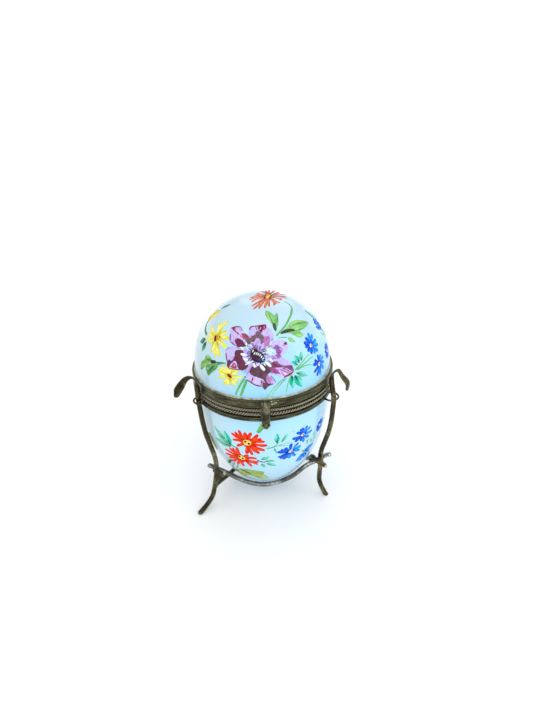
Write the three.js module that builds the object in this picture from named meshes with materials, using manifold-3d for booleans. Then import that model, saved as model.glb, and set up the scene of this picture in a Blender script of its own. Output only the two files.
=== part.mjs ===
// A porcelain trinket box in the form of an egg: a hinged lid and a deep bowl, both rimmed in
// brass, carried by three wire legs. Millimetres, +Z up, +Y to the hinge, -Y to the clasp.
// Everything is drawn about the egg's own axis with z = 0 on the middle of the brass collar.
// The last section moves it so that the feet stand on z = 0 and x, y are centred on the bounds.

import * as THREE from "three";
import { mergeVertices } from "three/addons/utils/BufferGeometryUtils.js";
import Module from "manifold-3d";

const wasm = await Module();
wasm.setup();

// ---- Driving dimensions -------------------------------------------------------------------

const FLOOR = -72.2; // floor below the collar's middle
const SHIFT_X = 0.52; // places the egg axis so that x and y are centred on the bounds
const SHIFT_Y = -9.81;

const GAP = 0.3; // clearance between pieces that touch on the real box
const ROUND = 40; // sides of the large round pieces
const WIRE_SIDES = 8;

const DOME = { r: 34.9, seat: 34.3, top: 43.0, wall: 2.2, powerR: 2.5, powerZ: 2.18 };
const BOWL = { r: 34.83, seat: 34.3, bottom: -68.3, wall: 2.4, powerR: 1.73, powerZ: 2.26 };
const PROFILE_STEPS = 9;

const COLLAR = { r: 36.5, half: 5.92, seam: -0.85, seamGap: 0.3, bore: 34.6 };
const GROOVE = { r: 35.1, depthZ: 2.7 }; // recess that the rope trims lie in
const LIP = { r: 32.5, t: 0.65 }; // inner lip of each ring
const ROPE = { wire: 0.65, lidZ: 0.35, baseZ: -2.15, r: 36.05 };
const CEMENT = { out: 1.0, high: 0.75 };
const LOCATOR = { in: 31.3, out: 32.0, low: -5.0, high: 1.3 };

const HINGE = { y: 39.3, barrel: 1.5, bore: 0.9, pin: 0.55, leafHigh: 3.0, leafIn: 37.2, leafOut: 38.3 };
const KNUCKLES = [
  { name: "hinge_knuckle_base_left", from: -7.6, to: -5.1, up: false },
  { name: "hinge_knuckle_lid_left", from: -4.8, to: -2.3, up: true },
  { name: "hinge_knuckle_base_centre", from: -2.0, to: 2.0, up: false },
  { name: "hinge_knuckle_lid_right", from: 2.3, to: 4.8, up: true },
  { name: "hinge_knuckle_base_right", from: 5.1, to: 7.6, up: false },
];
const HINGE_PIN_HALF = 8.0;

const CLASP = { x: 0.6, y: -37.6, z: 5.0, width: 4.2, lug: 1.2, barrel: 0.9, bore: 0.62, pin: 0.32 };
const CATCH = { z: -1.95, r: 0.6, from: -35.5, to: -37.6, notch: 1.0 };

const LEG = { wire: 1.35, bend: 1.7, thin: 0.5, steps: 36 };
const BOW_WIRE = 1.3;
const EYELET_WIRE = 0.5;

// ---- Materials ----------------------------------------------------------------------------

const porcelain = () => new THREE.MeshStandardMaterial({ color: 0xc9e6f2, roughness: 0.12, metalness: 0 });
const brass = () => new THREE.MeshStandardMaterial({ color: 0x6b6242, roughness: 0.45, metalness: 0.9 });
const wire = () => new THREE.MeshStandardMaterial({ color: 0x5a5138, roughness: 0.5, metalness: 0.9 });
const cement = () => new THREE.MeshStandardMaterial({ color: 0xc8b78e, roughness: 0.8, metalness: 0 });

// ---- Solids and booleans ------------------------------------------------------------------

function bare(geometry) {
  const copy = geometry.clone();
  for (const name of Object.keys(copy.attributes)) {
    if (name !== "position") copy.deleteAttribute(name);
  }
  return mergeVertices(copy, 1e-5);
}

function volume(geometry) {
  const p = geometry.attributes.position;
  const index = geometry.index;
  const a = new THREE.Vector3();
  const b = new THREE.Vector3();
  const c = new THREE.Vector3();
  let sum = 0;
  for (let i = 0; i < index.count; i += 3) {
    a.fromBufferAttribute(p, index.getX(i));
    b.fromBufferAttribute(p, index.getX(i + 1));
    c.fromBufferAttribute(p, index.getX(i + 2));
    sum += a.dot(b.cross(c)) / 6;
  }
  return sum;
}

// A welded copy of a closed geometry with its faces turned outwards.
function closed(geometry) {
  const g = bare(geometry);
  if (volume(g) < 0) {
    const turned = Array.from(g.index.array);
    for (let i = 0; i < turned.length; i += 3) {
      [turned[i], turned[i + 1]] = [turned[i + 1], turned[i]];
    }
    g.setIndex(turned);
  }
  g.computeVertexNormals();
  return g;
}

function solid(geometry) {
  const g = closed(geometry);
  const vertProperties = new Float32Array(g.attributes.position.array);
  const triVerts = new Uint32Array(g.index.array);
  return new wasm.Manifold(new wasm.Mesh({ numProp: 3, vertProperties, triVerts }));
}

function geometryOf(manifold) {
  const mesh = manifold.getMesh();
  const g = new THREE.BufferGeometry();
  g.setAttribute("position", new THREE.BufferAttribute(new Float32Array(mesh.vertProperties), 3));
  g.setIndex(Array.from(mesh.triVerts));
  g.computeVertexNormals();
  return g;
}

// ---- Basic shapes -------------------------------------------------------------------------

// A lathe about Z from [radius, z] pairs.
function lathe(points, sides = ROUND) {
  const outline = points.map(([r, z]) => new THREE.Vector2(Math.max(r, 0), z));
  return closed(new THREE.LatheGeometry(outline, sides).rotateX(Math.PI / 2));
}

const ringLathe = (points, sides) => lathe([...points, points[0]], sides);

function box(x0, x1, y0, y1, z0, z1) {
  const g = new THREE.BoxGeometry(x1 - x0, y1 - y0, z1 - z0);
  return g.translate((x0 + x1) / 2, (y0 + y1) / 2, (z0 + z1) / 2);
}

// A cylinder along X.
function rodX(radius, x0, x1, y, z, sides = 16) {
  const g = new THREE.CylinderGeometry(radius, radius, x1 - x0, sides);
  return g.rotateZ(Math.PI / 2).translate((x0 + x1) / 2, y, z);
}

// A round wire along a smooth curve through the given points.
function wireAlong(points, radius, steps) {
  const section = new THREE.Shape();
  section.absarc(0, 0, radius, 0, 2 * Math.PI);
  const path = new THREE.CatmullRomCurve3(points);
  const options = { steps, extrudePath: path, curveSegments: WIRE_SIDES / 2, bevelEnabled: false };
  return closed(new THREE.ExtrudeGeometry(section, options));
}

// Azimuth is measured from the front (-Y), positive to the right (+X).
const outward = (azimuth) => {
  const a = THREE.MathUtils.degToRad(azimuth);
  return new THREE.Vector3(Math.sin(a), -Math.cos(a), 0);
};
const sideways = (azimuth) => {
  const a = THREE.MathUtils.degToRad(azimuth);
  return new THREE.Vector3(Math.cos(a), Math.sin(a), 0);
};

// ---- The scene ----------------------------------------------------------------------------

const part = new THREE.Group();

function add(name, geometry, material) {
  const mesh = new THREE.Mesh(geometry, material);
  mesh.name = name;
  part.add(mesh);
}

// ---- Porcelain ----------------------------------------------------------------------------

// Quarter of a super-ellipse from [r, start] to [0, end], first point left out.
function shell(r, start, end, powerR, powerZ) {
  const points = [];
  for (let i = 1; i <= PROFILE_STEPS; i += 1) {
    const a = ((i / PROFILE_STEPS) ** 0.9 * Math.PI) / 2;
    const radius = i === PROFILE_STEPS ? 0 : r * Math.cos(a) ** (2 / powerR);
    points.push([radius, start + (end - start) * Math.sin(a) ** (2 / powerZ)]);
  }
  return points;
}

// A porcelain half: `edge` is its rim, `tip` the far end of its outside.
function porcelainHalf({ r, seat, wall, powerR, powerZ }, edge, shoulder, tip) {
  const inward = Math.sign(edge - tip) * wall;
  const outside = shell(r, shoulder, tip, powerR, powerZ);
  const inside = shell(r - wall, shoulder, tip + inward, powerR, powerZ);
  return lathe([
    ...inside.reverse(),
    [r - wall, shoulder],
    [r - wall, edge],
    [seat, edge],
    [seat, shoulder - Math.sign(shoulder) * 0.4],
    [r, shoulder],
    ...outside,
  ]);
}

const lidLow = COLLAR.seam + COLLAR.seamGap / 2;
const baseHigh = COLLAR.seam - COLLAR.seamGap / 2;

add("lid_dome", porcelainHalf(DOME, lidLow + LIP.t + GAP, COLLAR.half, DOME.top), porcelain());
add("base_bowl", porcelainHalf(BOWL, baseHigh - LIP.t - GAP, -COLLAR.half, BOWL.bottom), porcelain());

// ---- Brass collar -------------------------------------------------------------------------

// One half of the collar: a band, a groove beside the seam and a lip under the porcelain's rim.
function collarRing(seam, far) {
  const s = Math.sign(far - seam);
  const groove = seam + s * GROOVE.depthZ;
  return ringLathe([
    [LIP.r, seam],
    [GROOVE.r, seam],
    [GROOVE.r, groove],
    [COLLAR.r, groove],
    [COLLAR.r, far],
    [COLLAR.r - CEMENT.out - 0.25, far],
    [COLLAR.r - CEMENT.out - 0.25, far - s * 0.6],
    [COLLAR.bore, far - s * 0.6],
    [COLLAR.bore, seam + s * LIP.t],
    [LIP.r, seam + s * LIP.t],
  ]);
}

function cementLine(far) {
  const s = Math.sign(far);
  const z = far + s * GAP;
  return ringLathe([
    [COLLAR.r - CEMENT.out - 0.3, z],
    [COLLAR.r - 0.4, z],
    [COLLAR.r - CEMENT.out, z + s * CEMENT.high],
    [COLLAR.r - CEMENT.out - 0.3, z + s * CEMENT.high],
  ]);
}

function ropeTrim(z) {
  const points = [];
  for (let i = 0; i < WIRE_SIDES; i += 1) {
    const a = ((i + 0.5) * 2 * Math.PI) / WIRE_SIDES;
    points.push([ROPE.r + ROPE.wire * Math.cos(a), z + ROPE.wire * Math.sin(a)]);
  }
  const notch = box(CLASP.x - CATCH.notch, CLASP.x + CATCH.notch, -40, -30, z - 2, z + 2);
  return geometryOf(solid(ringLathe(points)).subtract(solid(notch)));
}

add("lid_ring", collarRing(lidLow, COLLAR.half), brass());
add("base_ring", collarRing(baseHigh, -COLLAR.half), brass());
add("lid_cement", cementLine(COLLAR.half), cement());
add("base_cement", cementLine(-COLLAR.half), cement());
add("lid_rope_trim", ropeTrim(ROPE.lidZ), brass());
add("base_rope_trim", ropeTrim(ROPE.baseZ), brass());
add(
  "locating_collar",
  ringLathe([
    [LOCATOR.in, LOCATOR.low],
    [LOCATOR.out, LOCATOR.low],
    [LOCATOR.out, LOCATOR.high],
    [LOCATOR.in, LOCATOR.high],
  ]),
  brass(),
);

// ---- Rear hinge ---------------------------------------------------------------------------

const hingeZ = COLLAR.seam;
const collarClearance = solid(
  new THREE.CylinderGeometry(HINGE.leafIn, HINGE.leafIn, 30, 96).rotateX(Math.PI / 2),
);

// A barrel with its leaf, hollowed to the collar and bored for the pin.
function knuckle({ from, to, up }) {
  const z = up ? [hingeZ, hingeZ + HINGE.leafHigh] : [hingeZ - HINGE.leafHigh, hingeZ];
  const leaf = solid(box(from, to, HINGE.leafIn - 1.5, HINGE.leafOut, ...z));
  const barrel = solid(rodX(HINGE.barrel, from, to, HINGE.y, hingeZ));
  const bore = solid(rodX(HINGE.bore, from - 1, to + 1, HINGE.y, hingeZ));
  return geometryOf(leaf.add(barrel).subtract(collarClearance).subtract(bore));
}

for (const each of KNUCKLES) add(each.name, knuckle(each), brass());
add("hinge_pin", closed(rodX(HINGE.pin, -HINGE_PIN_HALF, HINGE_PIN_HALF, HINGE.y, hingeZ, 12)), wire());

// ---- Clasp --------------------------------------------------------------------------------

const claspLeft = CLASP.x - CLASP.width / 2;
const claspRight = CLASP.x + CLASP.width / 2;
const frontFace = -Math.sqrt(COLLAR.r ** 2 - claspRight ** 2) - GAP;

// The lug stands on the lid ring between the strap's two knuckles.
function claspLug() {
  const x0 = CLASP.x - CLASP.lug / 2;
  const x1 = CLASP.x + CLASP.lug / 2;
  const ear = solid(box(x0, x1, CLASP.y, -COLLAR.r - GAP, CLASP.z - CLASP.barrel, CLASP.z + 0.8));
  const eye = solid(rodX(CLASP.barrel, x0, x1, CLASP.y, CLASP.z, 12));
  const bore = solid(rodX(CLASP.bore, x0 - 1, x1 + 1, CLASP.y, CLASP.z, 12));
  return geometryOf(ear.add(eye).subtract(bore));
}

// The strap's side outline as [y, z]: down the outside over both ropes, back up the inside.
const strapOutline = [
  [-38.45, 5.0], [-38.7, 3.4], [-39.0, 1.6], [-39.1, 0.0], [-38.9, -1.3], [-38.5, -2.2],
  [-37.9, -2.4], [-37.95, -1.9], [-38.25, -1.1], [-38.4, 0.0], [-38.3, 1.5], [-38.0, 2.9],
  [-37.6, 4.2],
];
const THUMB = { top: -2.8, low: -6.4, back: -37.3, front: -38.0, lobe: 1.05, foot: 1.3, ball: 0.85 };

// Extrudes a [y, z] outline along X.
function extrudeX(outline, x0, x1) {
  const shape = new THREE.Shape(outline.map(([y, z]) => new THREE.Vector2(y, z)));
  const g = new THREE.ExtrudeGeometry(shape, { depth: x1 - x0, bevelEnabled: false });
  // shape x, y, depth -> y, z, x
  g.applyMatrix4(new THREE.Matrix4().set(0, 0, 1, x0, 1, 0, 0, 0, 0, 1, 0, 0, 0, 0, 0, 1));
  return g;
}

function claspHasp() {
  const strap = solid(extrudeX(strapOutline, claspLeft, claspRight));
  const eye = solid(rodX(CLASP.barrel, claspLeft, claspRight, CLASP.y, CLASP.z, 12));
  const bore = solid(rodX(CLASP.bore, claspLeft - 1, claspRight + 1, CLASP.y, CLASP.z, 12));
  const slotHalf = CLASP.lug / 2 + GAP;
  const slot = solid(box(CLASP.x - slotHalf, CLASP.x + slotHalf, CLASP.y - 1.6, -36, CLASP.z - 1.5, 7));
  return geometryOf(strap.add(eye).subtract(bore).subtract(slot));
}

// Tongue and thumb ornament: a plate with a three-lobed foot and a ball in the middle.
function claspThumb() {
  const thick = THUMB.back - THUMB.front + 0.4;
  const middle = (THUMB.back + THUMB.front) / 2 - 0.1;
  const disc = (x, z, r) => solid(new THREE.CylinderGeometry(r, r, thick, 14).translate(x, middle, z));
  const plate = solid(box(claspLeft, claspRight, THUMB.front, THUMB.back, THUMB.low, THUMB.top));
  const ball = new THREE.SphereGeometry(THUMB.ball, 12, 8).translate(CLASP.x, THUMB.front - 0.3, THUMB.low);
  const lobes = [-1, 1].map((s) => disc(CLASP.x + s * THUMB.lobe, THUMB.low - 0.5, THUMB.lobe));
  const foot = disc(CLASP.x, THUMB.low - 1.5, THUMB.foot);
  return geometryOf(plate.add(lobes[0]).add(lobes[1]).add(foot).add(solid(ball)));
}

add("clasp_lug", claspLug(), brass());
add("clasp_pin", closed(rodX(CLASP.pin, claspLeft - 0.1, claspRight + 0.1, CLASP.y, CLASP.z, 10)), wire());
add("clasp_hasp", claspHasp(), brass());
add("clasp_thumb", claspThumb(), brass());

const stud = new THREE.CylinderGeometry(CATCH.r * 0.8, CATCH.r, CATCH.from - CATCH.to, 12);
stud.rotateX(Math.PI).translate(CLASP.x, (CATCH.from + CATCH.to) / 2, CATCH.z);
add("catch_stud", closed(stud), brass());

// ---- Legs ---------------------------------------------------------------------------------

// Centre line of each leg as [radius, z, sideways], from the leaf's tip to the foot. `leaf` is the
// share of the way down to which the wire is flattened.
const LEGS = {
  leg_left: {
    azimuth: -58.5,
    line: [
      [50.3, 3.6, 0], [46.6, 8.0, 0], [43.4, 11.0, 0], [40.9, 11.3, 0.2], [39.1, 9.4, 0.5],
      [38.4, 4.8, 0.7], [38.35, 0.4, 0.7], [38.35, -3.4, 0.7], [37.9, -9, 0.7], [37.5, -14, 0.6],
      [36.8, -19.4, 0.4], [36.0, -24.6, 0.2], [34.7, -30.3, 0.1], [33.3, -36.2, 0], [32.1, -42.3, 0],
      [31.8, -48, 0], [32.3, -53.3, 0], [33.5, -59, 0], [34.5, -62.8, 0.2], [36.0, -66.3, 0.6],
      [39.2, -69.1, 1.4], [43.3, -70.7, 2.7], [46.2, -71.8, 3.5],
    ],
  },
  leg_right: {
    azimuth: 61.5,
    line: [
      [46.7, 0.9, 0], [46.7, 4.8, 0], [43.9, 8.1, 0], [41.6, 10.9, 0], [39.7, 9.5, 0],
      [38.5, 5.8, 0], [38.8, 1.4, 0], [39.6, -3.2, 0], [39.9, -7.4, 0], [39.5, -13, 0],
      [39.1, -18, 0], [38.4, -23.3, 0], [37.2, -28.9, 0], [35.5, -34.7, 0], [33.9, -40.5, 0],
      [33.3, -46.2, 0], [33.4, -51.6, 0], [33.0, -57.5, 0], [32.9, -61.4, 0.2], [33.6, -65.3, 0.8],
      [34.5, -68.4, 1.4], [35.6, -70.6, 1.6], [36.7, -72.6, 1.7],
    ],
  },
  leg_rear: {
    azimuth: 180,
    line: [
      [58.4, 0.6, 0], [55.3, 4.6, 0], [51.6, 6.2, 0], [48.3, 5.3, 0], [45.8, 3.2, 0],
      [44.7, 0.2, 0], [44.4, -4.5, 0], [44.1, -9, 0], [43.4, -14, 0], [42.2, -20, 0],
      [40.5, -26, 0], [38.3, -32, 0], [36.0, -38, 0], [34.1, -44, 0], [33.4, -50, 0],
      [33.6, -56, 0], [35.0, -61.5, 0], [37.4, -66, 0], [40.6, -69.2, 0], [43.8, -70.8, 0],
      [46.2, -71.8, 0],
    ],
  },
};
// `share` of the length is hammered flat, `half` is the leaf's half width and `twist` in degrees
// turns its face to the front.
const LEAVES = {
  leg_left: { share: 0.2, half: 2.1, twist: 42 },
  leg_right: { share: 0.2, half: 2.1, twist: -8 },
  leg_rear: { share: 0.185, half: 2.1, twist: 0 },
};
const TIP_SHARE = 0.022;

// Half width, half thickness and twist of a leg at share t of its length.
function legSection(t, { share, half, twist }) {
  const { smoothstep, lerp, clamp, degToRad } = THREE.MathUtils;
  const flat = 1 - smoothstep(t, share * 0.75, share);
  const tip = 1 - clamp(t / TIP_SHARE, 0, 1);
  const leaf = lerp(half, LEG.bend, smoothstep(t, 0.05, 0.12));
  const wide = lerp(LEG.wire, leaf, flat) * lerp(0.4, 1, Math.sqrt(1 - tip * tip));
  return [wide, lerp(LEG.wire, LEG.thin, flat), degToRad(twist) * (1 - smoothstep(t, 0.04, 0.13))];
}

// Skins a closed tube whose section changes along the curve, then cuts it off at the floor.
function legGeometry({ azimuth, line }, leaf) {
  const out = outward(azimuth);
  const side = sideways(azimuth);
  const place = ([r, z, t]) => out.clone().multiplyScalar(r).addScaledVector(side, t).setZ(z);
  const curve = new THREE.CatmullRomCurve3(line.map(place));
  const positions = [];
  const index = [];
  const n = WIRE_SIDES;
  for (let i = 0; i <= LEG.steps; i += 1) {
    const t = i / LEG.steps;
    const centre = curve.getPointAt(t);
    const tangent = curve.getTangentAt(t);
    const [wide, thick, turn] = legSection(t, leaf);
    const across = side.clone().applyAxisAngle(tangent, turn);
    const normal = tangent.clone().cross(across).normalize();
    for (let k = 0; k < n; k += 1) {
      const a = ((k + 0.5) * 2 * Math.PI) / n;
      const p = centre.clone().addScaledVector(across, wide * Math.cos(a));
      positions.push(...p.addScaledVector(normal, thick * Math.sin(a)).toArray());
      if (i < LEG.steps) {
        const [p0, p1] = [i * n + k, i * n + ((k + 1) % n)];
        index.push(p0, p1, p0 + n, p1, p1 + n, p0 + n);
      }
    }
  }
  for (let k = 1; k < n - 1; k += 1) {
    index.push(0, k + 1, k);
    index.push(LEG.steps * n, LEG.steps * n + k, LEG.steps * n + k + 1);
  }
  const g = new THREE.BufferGeometry();
  g.setAttribute("position", new THREE.Float32BufferAttribute(positions, 3));
  g.setIndex(index);
  const ground = solid(box(-90, 90, -90, 90, FLOOR - 20, FLOOR));
  return geometryOf(solid(g).subtract(ground));
}

for (const [name, leg] of Object.entries(LEGS)) {
  add(name, legGeometry(leg, LEAVES[name]), wire());
}

// ---- Eyelets ------------------------------------------------------------------------------

// A staple of wire from the base ring round a leg: `reach` is its outermost radius, `half` its
// half width, `off` how far it sits to one side of the leg.
const EYELETS = {
  eyelet_left: { azimuth: -58.5, z: -2.8, reach: 40.7, half: 3.2, off: 1.0 },
  eyelet_right: { azimuth: 61.5, z: -4.9, reach: 42.1, half: 3.8, off: -0.2 },
  eyelet_rear: { azimuth: 180, z: -4.5, reach: 46.9, half: 2.9, off: 0 },
};

function eyelet({ azimuth, z, reach, half, off }) {
  const start = COLLAR.r + GAP + 0.2;
  const out = outward(azimuth);
  const side = sideways(azimuth);
  const place = (r, t) => out.clone().multiplyScalar(r).addScaledVector(side, off + t).setZ(z);
  const round = reach - half * 0.9; // where the straight arms turn into the loop
  const arms = Math.max(round, start + 1.2);
  const points = [place(start, -half * 0.85)];
  for (let i = 0; i <= 6; i += 1) {
    const a = -Math.PI / 2 + (i * Math.PI) / 6;
    points.push(place(arms + (reach - arms) * Math.cos(a), half * Math.sin(a)));
  }
  points.push(place(start, half * 0.85));
  return wireAlong(points, EYELET_WIRE, 22);
}

for (const [name, each] of Object.entries(EYELETS)) add(name, eyelet(each), wire());

// ---- Bows under the bowl ------------------------------------------------------------------

const BOWS = {
  bow_front: [
    [-31.7, -13.5, -49.6], [-25.7, -13.7, -53.1], [-20.9, -14.0, -56.0], [-15.0, -14.4, -59.8],
    [-9.6, -14.5, -62.5], [-2.9, -14.5, -64.2], [4.4, -14.5, -63.6], [10.0, -14.7, -61.2],
    [15.6, -15.0, -57.4], [20.1, -14.3, -53.6], [23.9, -13.3, -51.6], [27.2, -12.6, -50.6],
    [30.2, -12.6, -48.4], [32.6, -13.2, -46.5], [35.0, -14.0, -45.2],
  ],
  bow_rear_left: [
    [-28.1, -14.6, -62.4], [-24.6, -8.9, -63.5], [-20.7, -2.4, -64.9], [-16.4, 5.2, -65.7],
    [-12.4, 11.8, -65.0], [-8.6, 18.6, -61.8], [-5.8, 25.0, -55.9], [-4.2, 30.4, -51.0],
    [-3.2, 36.2, -48.6],
  ],
  bow_rear_right: [
    [31.2, -19.9, -47.8], [29.3, -20.2, -46.0], [26.9, -19.2, -44.9], [25.4, -14.4, -46.0],
    [24.2, -7.6, -52.6], [20.9, 0.6, -58.9], [15.0, 9.4, -64.4], [10.8, 17.0, -64.6],
    [7.0, 24.0, -60.6], [4.4, 30.2, -57.0], [3.3, 36.0, -55.2],
  ],
};

for (const [name, points] of Object.entries(BOWS)) {
  const curve = points.map((p) => new THREE.Vector3(...p));
  add(name, wireAlong(curve, BOW_WIRE, 30), wire());
}

// ---- Place the box in its frame -----------------------------------------------------------

for (const mesh of part.children) mesh.geometry.translate(SHIFT_X, SHIFT_Y, -FLOOR);

export default part;
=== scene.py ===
# The looks of the porcelain trinket box: a glazed egg with raised enamel flowers, an aged brass
# collar with rope trims and a clasp, and hand-bent brass wire legs. Local millimetres are
# measured from the collar's middle, on the egg's axis; at() turns them into the frame's metres.

import math
import random

import bmesh
import bpy
import numpy as np
from mathutils import Matrix, Vector, noise
from mathutils.geometry import delaunay_2d_cdt


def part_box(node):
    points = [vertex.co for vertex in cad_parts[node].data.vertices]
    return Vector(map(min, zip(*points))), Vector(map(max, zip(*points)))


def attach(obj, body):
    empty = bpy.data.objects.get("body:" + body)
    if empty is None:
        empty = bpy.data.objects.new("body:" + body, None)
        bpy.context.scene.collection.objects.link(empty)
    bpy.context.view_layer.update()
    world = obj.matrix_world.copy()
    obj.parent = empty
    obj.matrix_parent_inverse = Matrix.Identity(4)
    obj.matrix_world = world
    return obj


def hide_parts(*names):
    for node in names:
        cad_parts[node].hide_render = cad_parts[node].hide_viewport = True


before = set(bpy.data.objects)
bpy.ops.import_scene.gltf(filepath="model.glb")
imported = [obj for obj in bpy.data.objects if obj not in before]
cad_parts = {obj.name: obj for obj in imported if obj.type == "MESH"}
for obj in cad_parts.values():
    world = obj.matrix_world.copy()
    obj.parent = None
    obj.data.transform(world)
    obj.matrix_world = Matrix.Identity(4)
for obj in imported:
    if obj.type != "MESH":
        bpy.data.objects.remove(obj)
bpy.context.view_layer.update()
MM = 0.001

# ---- Frame of the egg -----------------------------------------------------------------------

lid_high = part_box("lid_ring")[1]
base_low, base_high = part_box("base_ring")
ORIGIN = Vector((base_low.x + base_high.x, base_low.y + base_high.y, base_low.z + lid_high.z)) / 2
FLOOR = -ORIGIN.z / MM  # the floor in local millimetres


def at(x, y, z):
    """A local point, in millimetres, as a place in the frame."""
    return ORIGIN + Vector((x, y, z)) * MM


def outward(azimuth):
    """Unit vector away from the axis; azimuth 0 is the clasp, 90 the right-hand side."""
    a = math.radians(azimuth)
    return np.array([math.sin(a), -math.cos(a), 0.0])


def sideways(azimuth):
    """Unit vector to the right of outward(azimuth), seen from outside."""
    a = math.radians(azimuth)
    return np.array([math.cos(a), math.sin(a), 0.0])


# ---- Mesh helpers ---------------------------------------------------------------------------


def make(name, shape, material, body, replaces=(), colours=None, recalculate=True):
    """A piece from (vertices in local millimetres, faces), riding on a body. Its faces are
    turned outward unless recalculate is off."""
    verts, faces = shape
    mesh = bpy.data.meshes.new(name)
    world = np.asarray(verts, float) * MM + np.array(ORIGIN)
    mesh.from_pydata(world.tolist(), [], faces)
    if colours is not None:
        layer = mesh.color_attributes.new("paint", "FLOAT_COLOR", "POINT")
        rgba = np.ones((len(verts), 4))
        rgba[:, :3] = colours
        layer.data.foreach_set("color", rgba.ravel())
    mesh.update()
    mesh.validate()
    piece = bpy.data.objects.new(name, mesh)
    bpy.context.scene.collection.objects.link(piece)
    mesh.materials.append(material)
    mesh.polygons.foreach_set("use_smooth", [True] * len(mesh.polygons))
    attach(piece, body)
    if replaces:
        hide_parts(*replaces)
    if recalculate:
        bm = bmesh.new()
        bm.from_mesh(mesh)
        bmesh.ops.recalc_face_normals(bm, faces=bm.faces)
        bm.to_mesh(mesh)
        bm.free()


def joined(shapes):
    """Several shapes as one."""
    verts, faces = [], []
    for more, polygons in shapes:
        faces += [[len(verts) + i for i in polygon] for polygon in polygons]
        verts += more
    return verts, faces


def turned(outline, sides, wobble=None):
    """Surface of revolution from a closed list of [radius, z]; wobble(azimuth, i) moves points."""
    n = len(outline)
    verts, faces = [], []
    for k in range(sides):
        azimuth = 360 * k / sides
        out = outward(azimuth)
        for i, (r, z) in enumerate(outline):
            dr, dz = wobble(azimuth, i) if wobble else (0, 0)
            verts.append([out[0] * (r + dr), out[1] * (r + dr), z + dz])
    for k in range(sides):
        a, b = k * n, ((k + 1) % sides) * n
        for i in range(n):
            j = (i + 1) % n
            faces.append([a + i, b + i, b + j, a + j])
    return verts, faces


def egg_skin(outline, sides):
    """Surface of revolution whose outline starts and ends on the axis."""
    inner = outline[1:-1]
    n = len(inner)
    verts = [[0, 0, outline[0][1]], [0, 0, outline[-1][1]]]
    faces = []
    for k in range(sides):
        out = outward(360 * k / sides)
        verts += [[out[0] * r, out[1] * r, z] for r, z in inner]
    for k in range(sides):
        a, b = 2 + k * n, 2 + ((k + 1) % sides) * n
        faces.append([0, b, a])
        faces.append([1, a + n - 1, b + n - 1])
        faces += [[a + i, b + i, b + i + 1, a + i + 1] for i in range(n - 1)]
    return verts, faces


def spline(points, per_span=10):
    """Centripetal Catmull-Rom curve through the points."""
    p = np.asarray(points, float)
    out = []
    for k in range(len(p) - 1):
        before = p[k - 1] if k else 2 * p[0] - p[1]
        after = p[k + 2] if k + 2 < len(p) else 2 * p[-1] - p[-2]
        a, b = p[k], p[k + 1]
        d0, d1, d2 = (max(np.linalg.norm(v) ** 0.5, 1e-3) for v in (a - before, b - a, after - b))
        ta = ((a - before) / d0 - (b - before) / (d0 + d1) + (b - a) / d1) * d1
        tb = ((b - a) / d1 - (after - a) / (d1 + d2) + (after - b) / d2) * d1
        for t in np.arange(per_span) / per_span:
            out.append(
                a + ta * t + (-3 * a + 3 * b - 2 * ta - tb) * t**2 + (2 * a - 2 * b + ta + tb) * t**3
            )
    out.append(p[-1])
    return np.array(out)


def even(path, count):
    """The path again with its points evenly spaced."""
    step = np.linalg.norm(np.diff(path, axis=0), axis=1)
    run = np.concatenate([[0], np.cumsum(step)])
    want = np.linspace(0, run[-1], count)
    return np.stack([np.interp(want, run, path[:, i]) for i in range(path.shape[1])], 1)


def lofted(path, section, side=None, sides=16, cap_rings=3):
    """A closed tube along the path. section(t) gives its half width along `side`, its half
    thickness and its turn about the path. Without a side the frame is carried along."""
    last = len(path) - 1
    tangent = np.gradient(path, axis=0)
    tangent /= np.linalg.norm(tangent, axis=1)[:, None]
    across = side if side is not None else np.cross(tangent[0], [0.3, 0.2, 1.0])
    verts, rings = [], []

    def ring(centre, s, m, wide, thick):
        rings.append(len(verts))
        for k in range(sides):
            a = 2 * math.pi * k / sides
            verts.append(list(centre + s * wide * math.cos(a) + m * thick * math.sin(a)))

    def cap(centre, s, m, wide, thick, ahead, order):
        for j in order:
            a = math.pi / 2 * (j + 0.35) / cap_rings
            bulge = ahead * thick * 0.5 * (1 - math.sin(a))
            ring(centre + bulge, s, m, wide * math.sin(a), thick * math.sin(a))

    for i in range(last + 1):
        s = across - tangent[i] * (across @ tangent[i])
        s /= np.linalg.norm(s)
        if side is None:
            across = s
        m = np.cross(tangent[i], s)
        wide, thick, turn = section(i / last)
        s, m = s * math.cos(turn) + m * math.sin(turn), m * math.cos(turn) - s * math.sin(turn)
        if i == 0:
            cap(path[0], s, m, wide, thick, -tangent[0], range(cap_rings))
        ring(path[i], s, m, wide, thick)
        if i == last:
            cap(path[last], s, m, wide, thick, tangent[last], reversed(range(cap_rings)))
    faces = []
    for a, b in zip(rings, rings[1:]):
        for k in range(sides):
            j = (k + 1) % sides
            faces.append([a + k, a + j, b + j, b + k])
    faces.append([rings[0] + k for k in reversed(range(sides))])
    faces.append([rings[-1] + k for k in range(sides)])
    return verts, faces


# ---- Materials ------------------------------------------------------------------------------


def srgb(r, g, b):
    """Linear colour from 0-255 display values."""
    return tuple(
        (c / 255 / 12.92) if c <= 10 else ((c / 255 + 0.055) / 1.055) ** 2.4 for c in (r, g, b)
    )


BLACK, WHITE = (0, 0, 0), (1, 1, 1)


def fill_ramp(ramp, stops):
    """Gives a colour ramp its (place, colour) stops."""
    while len(ramp.elements) < len(stops):
        ramp.elements.new(0.5)
    for element, (place, colour) in zip(ramp.elements, stops):
        element.position = place
        element.color = (*colour, 1)


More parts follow.
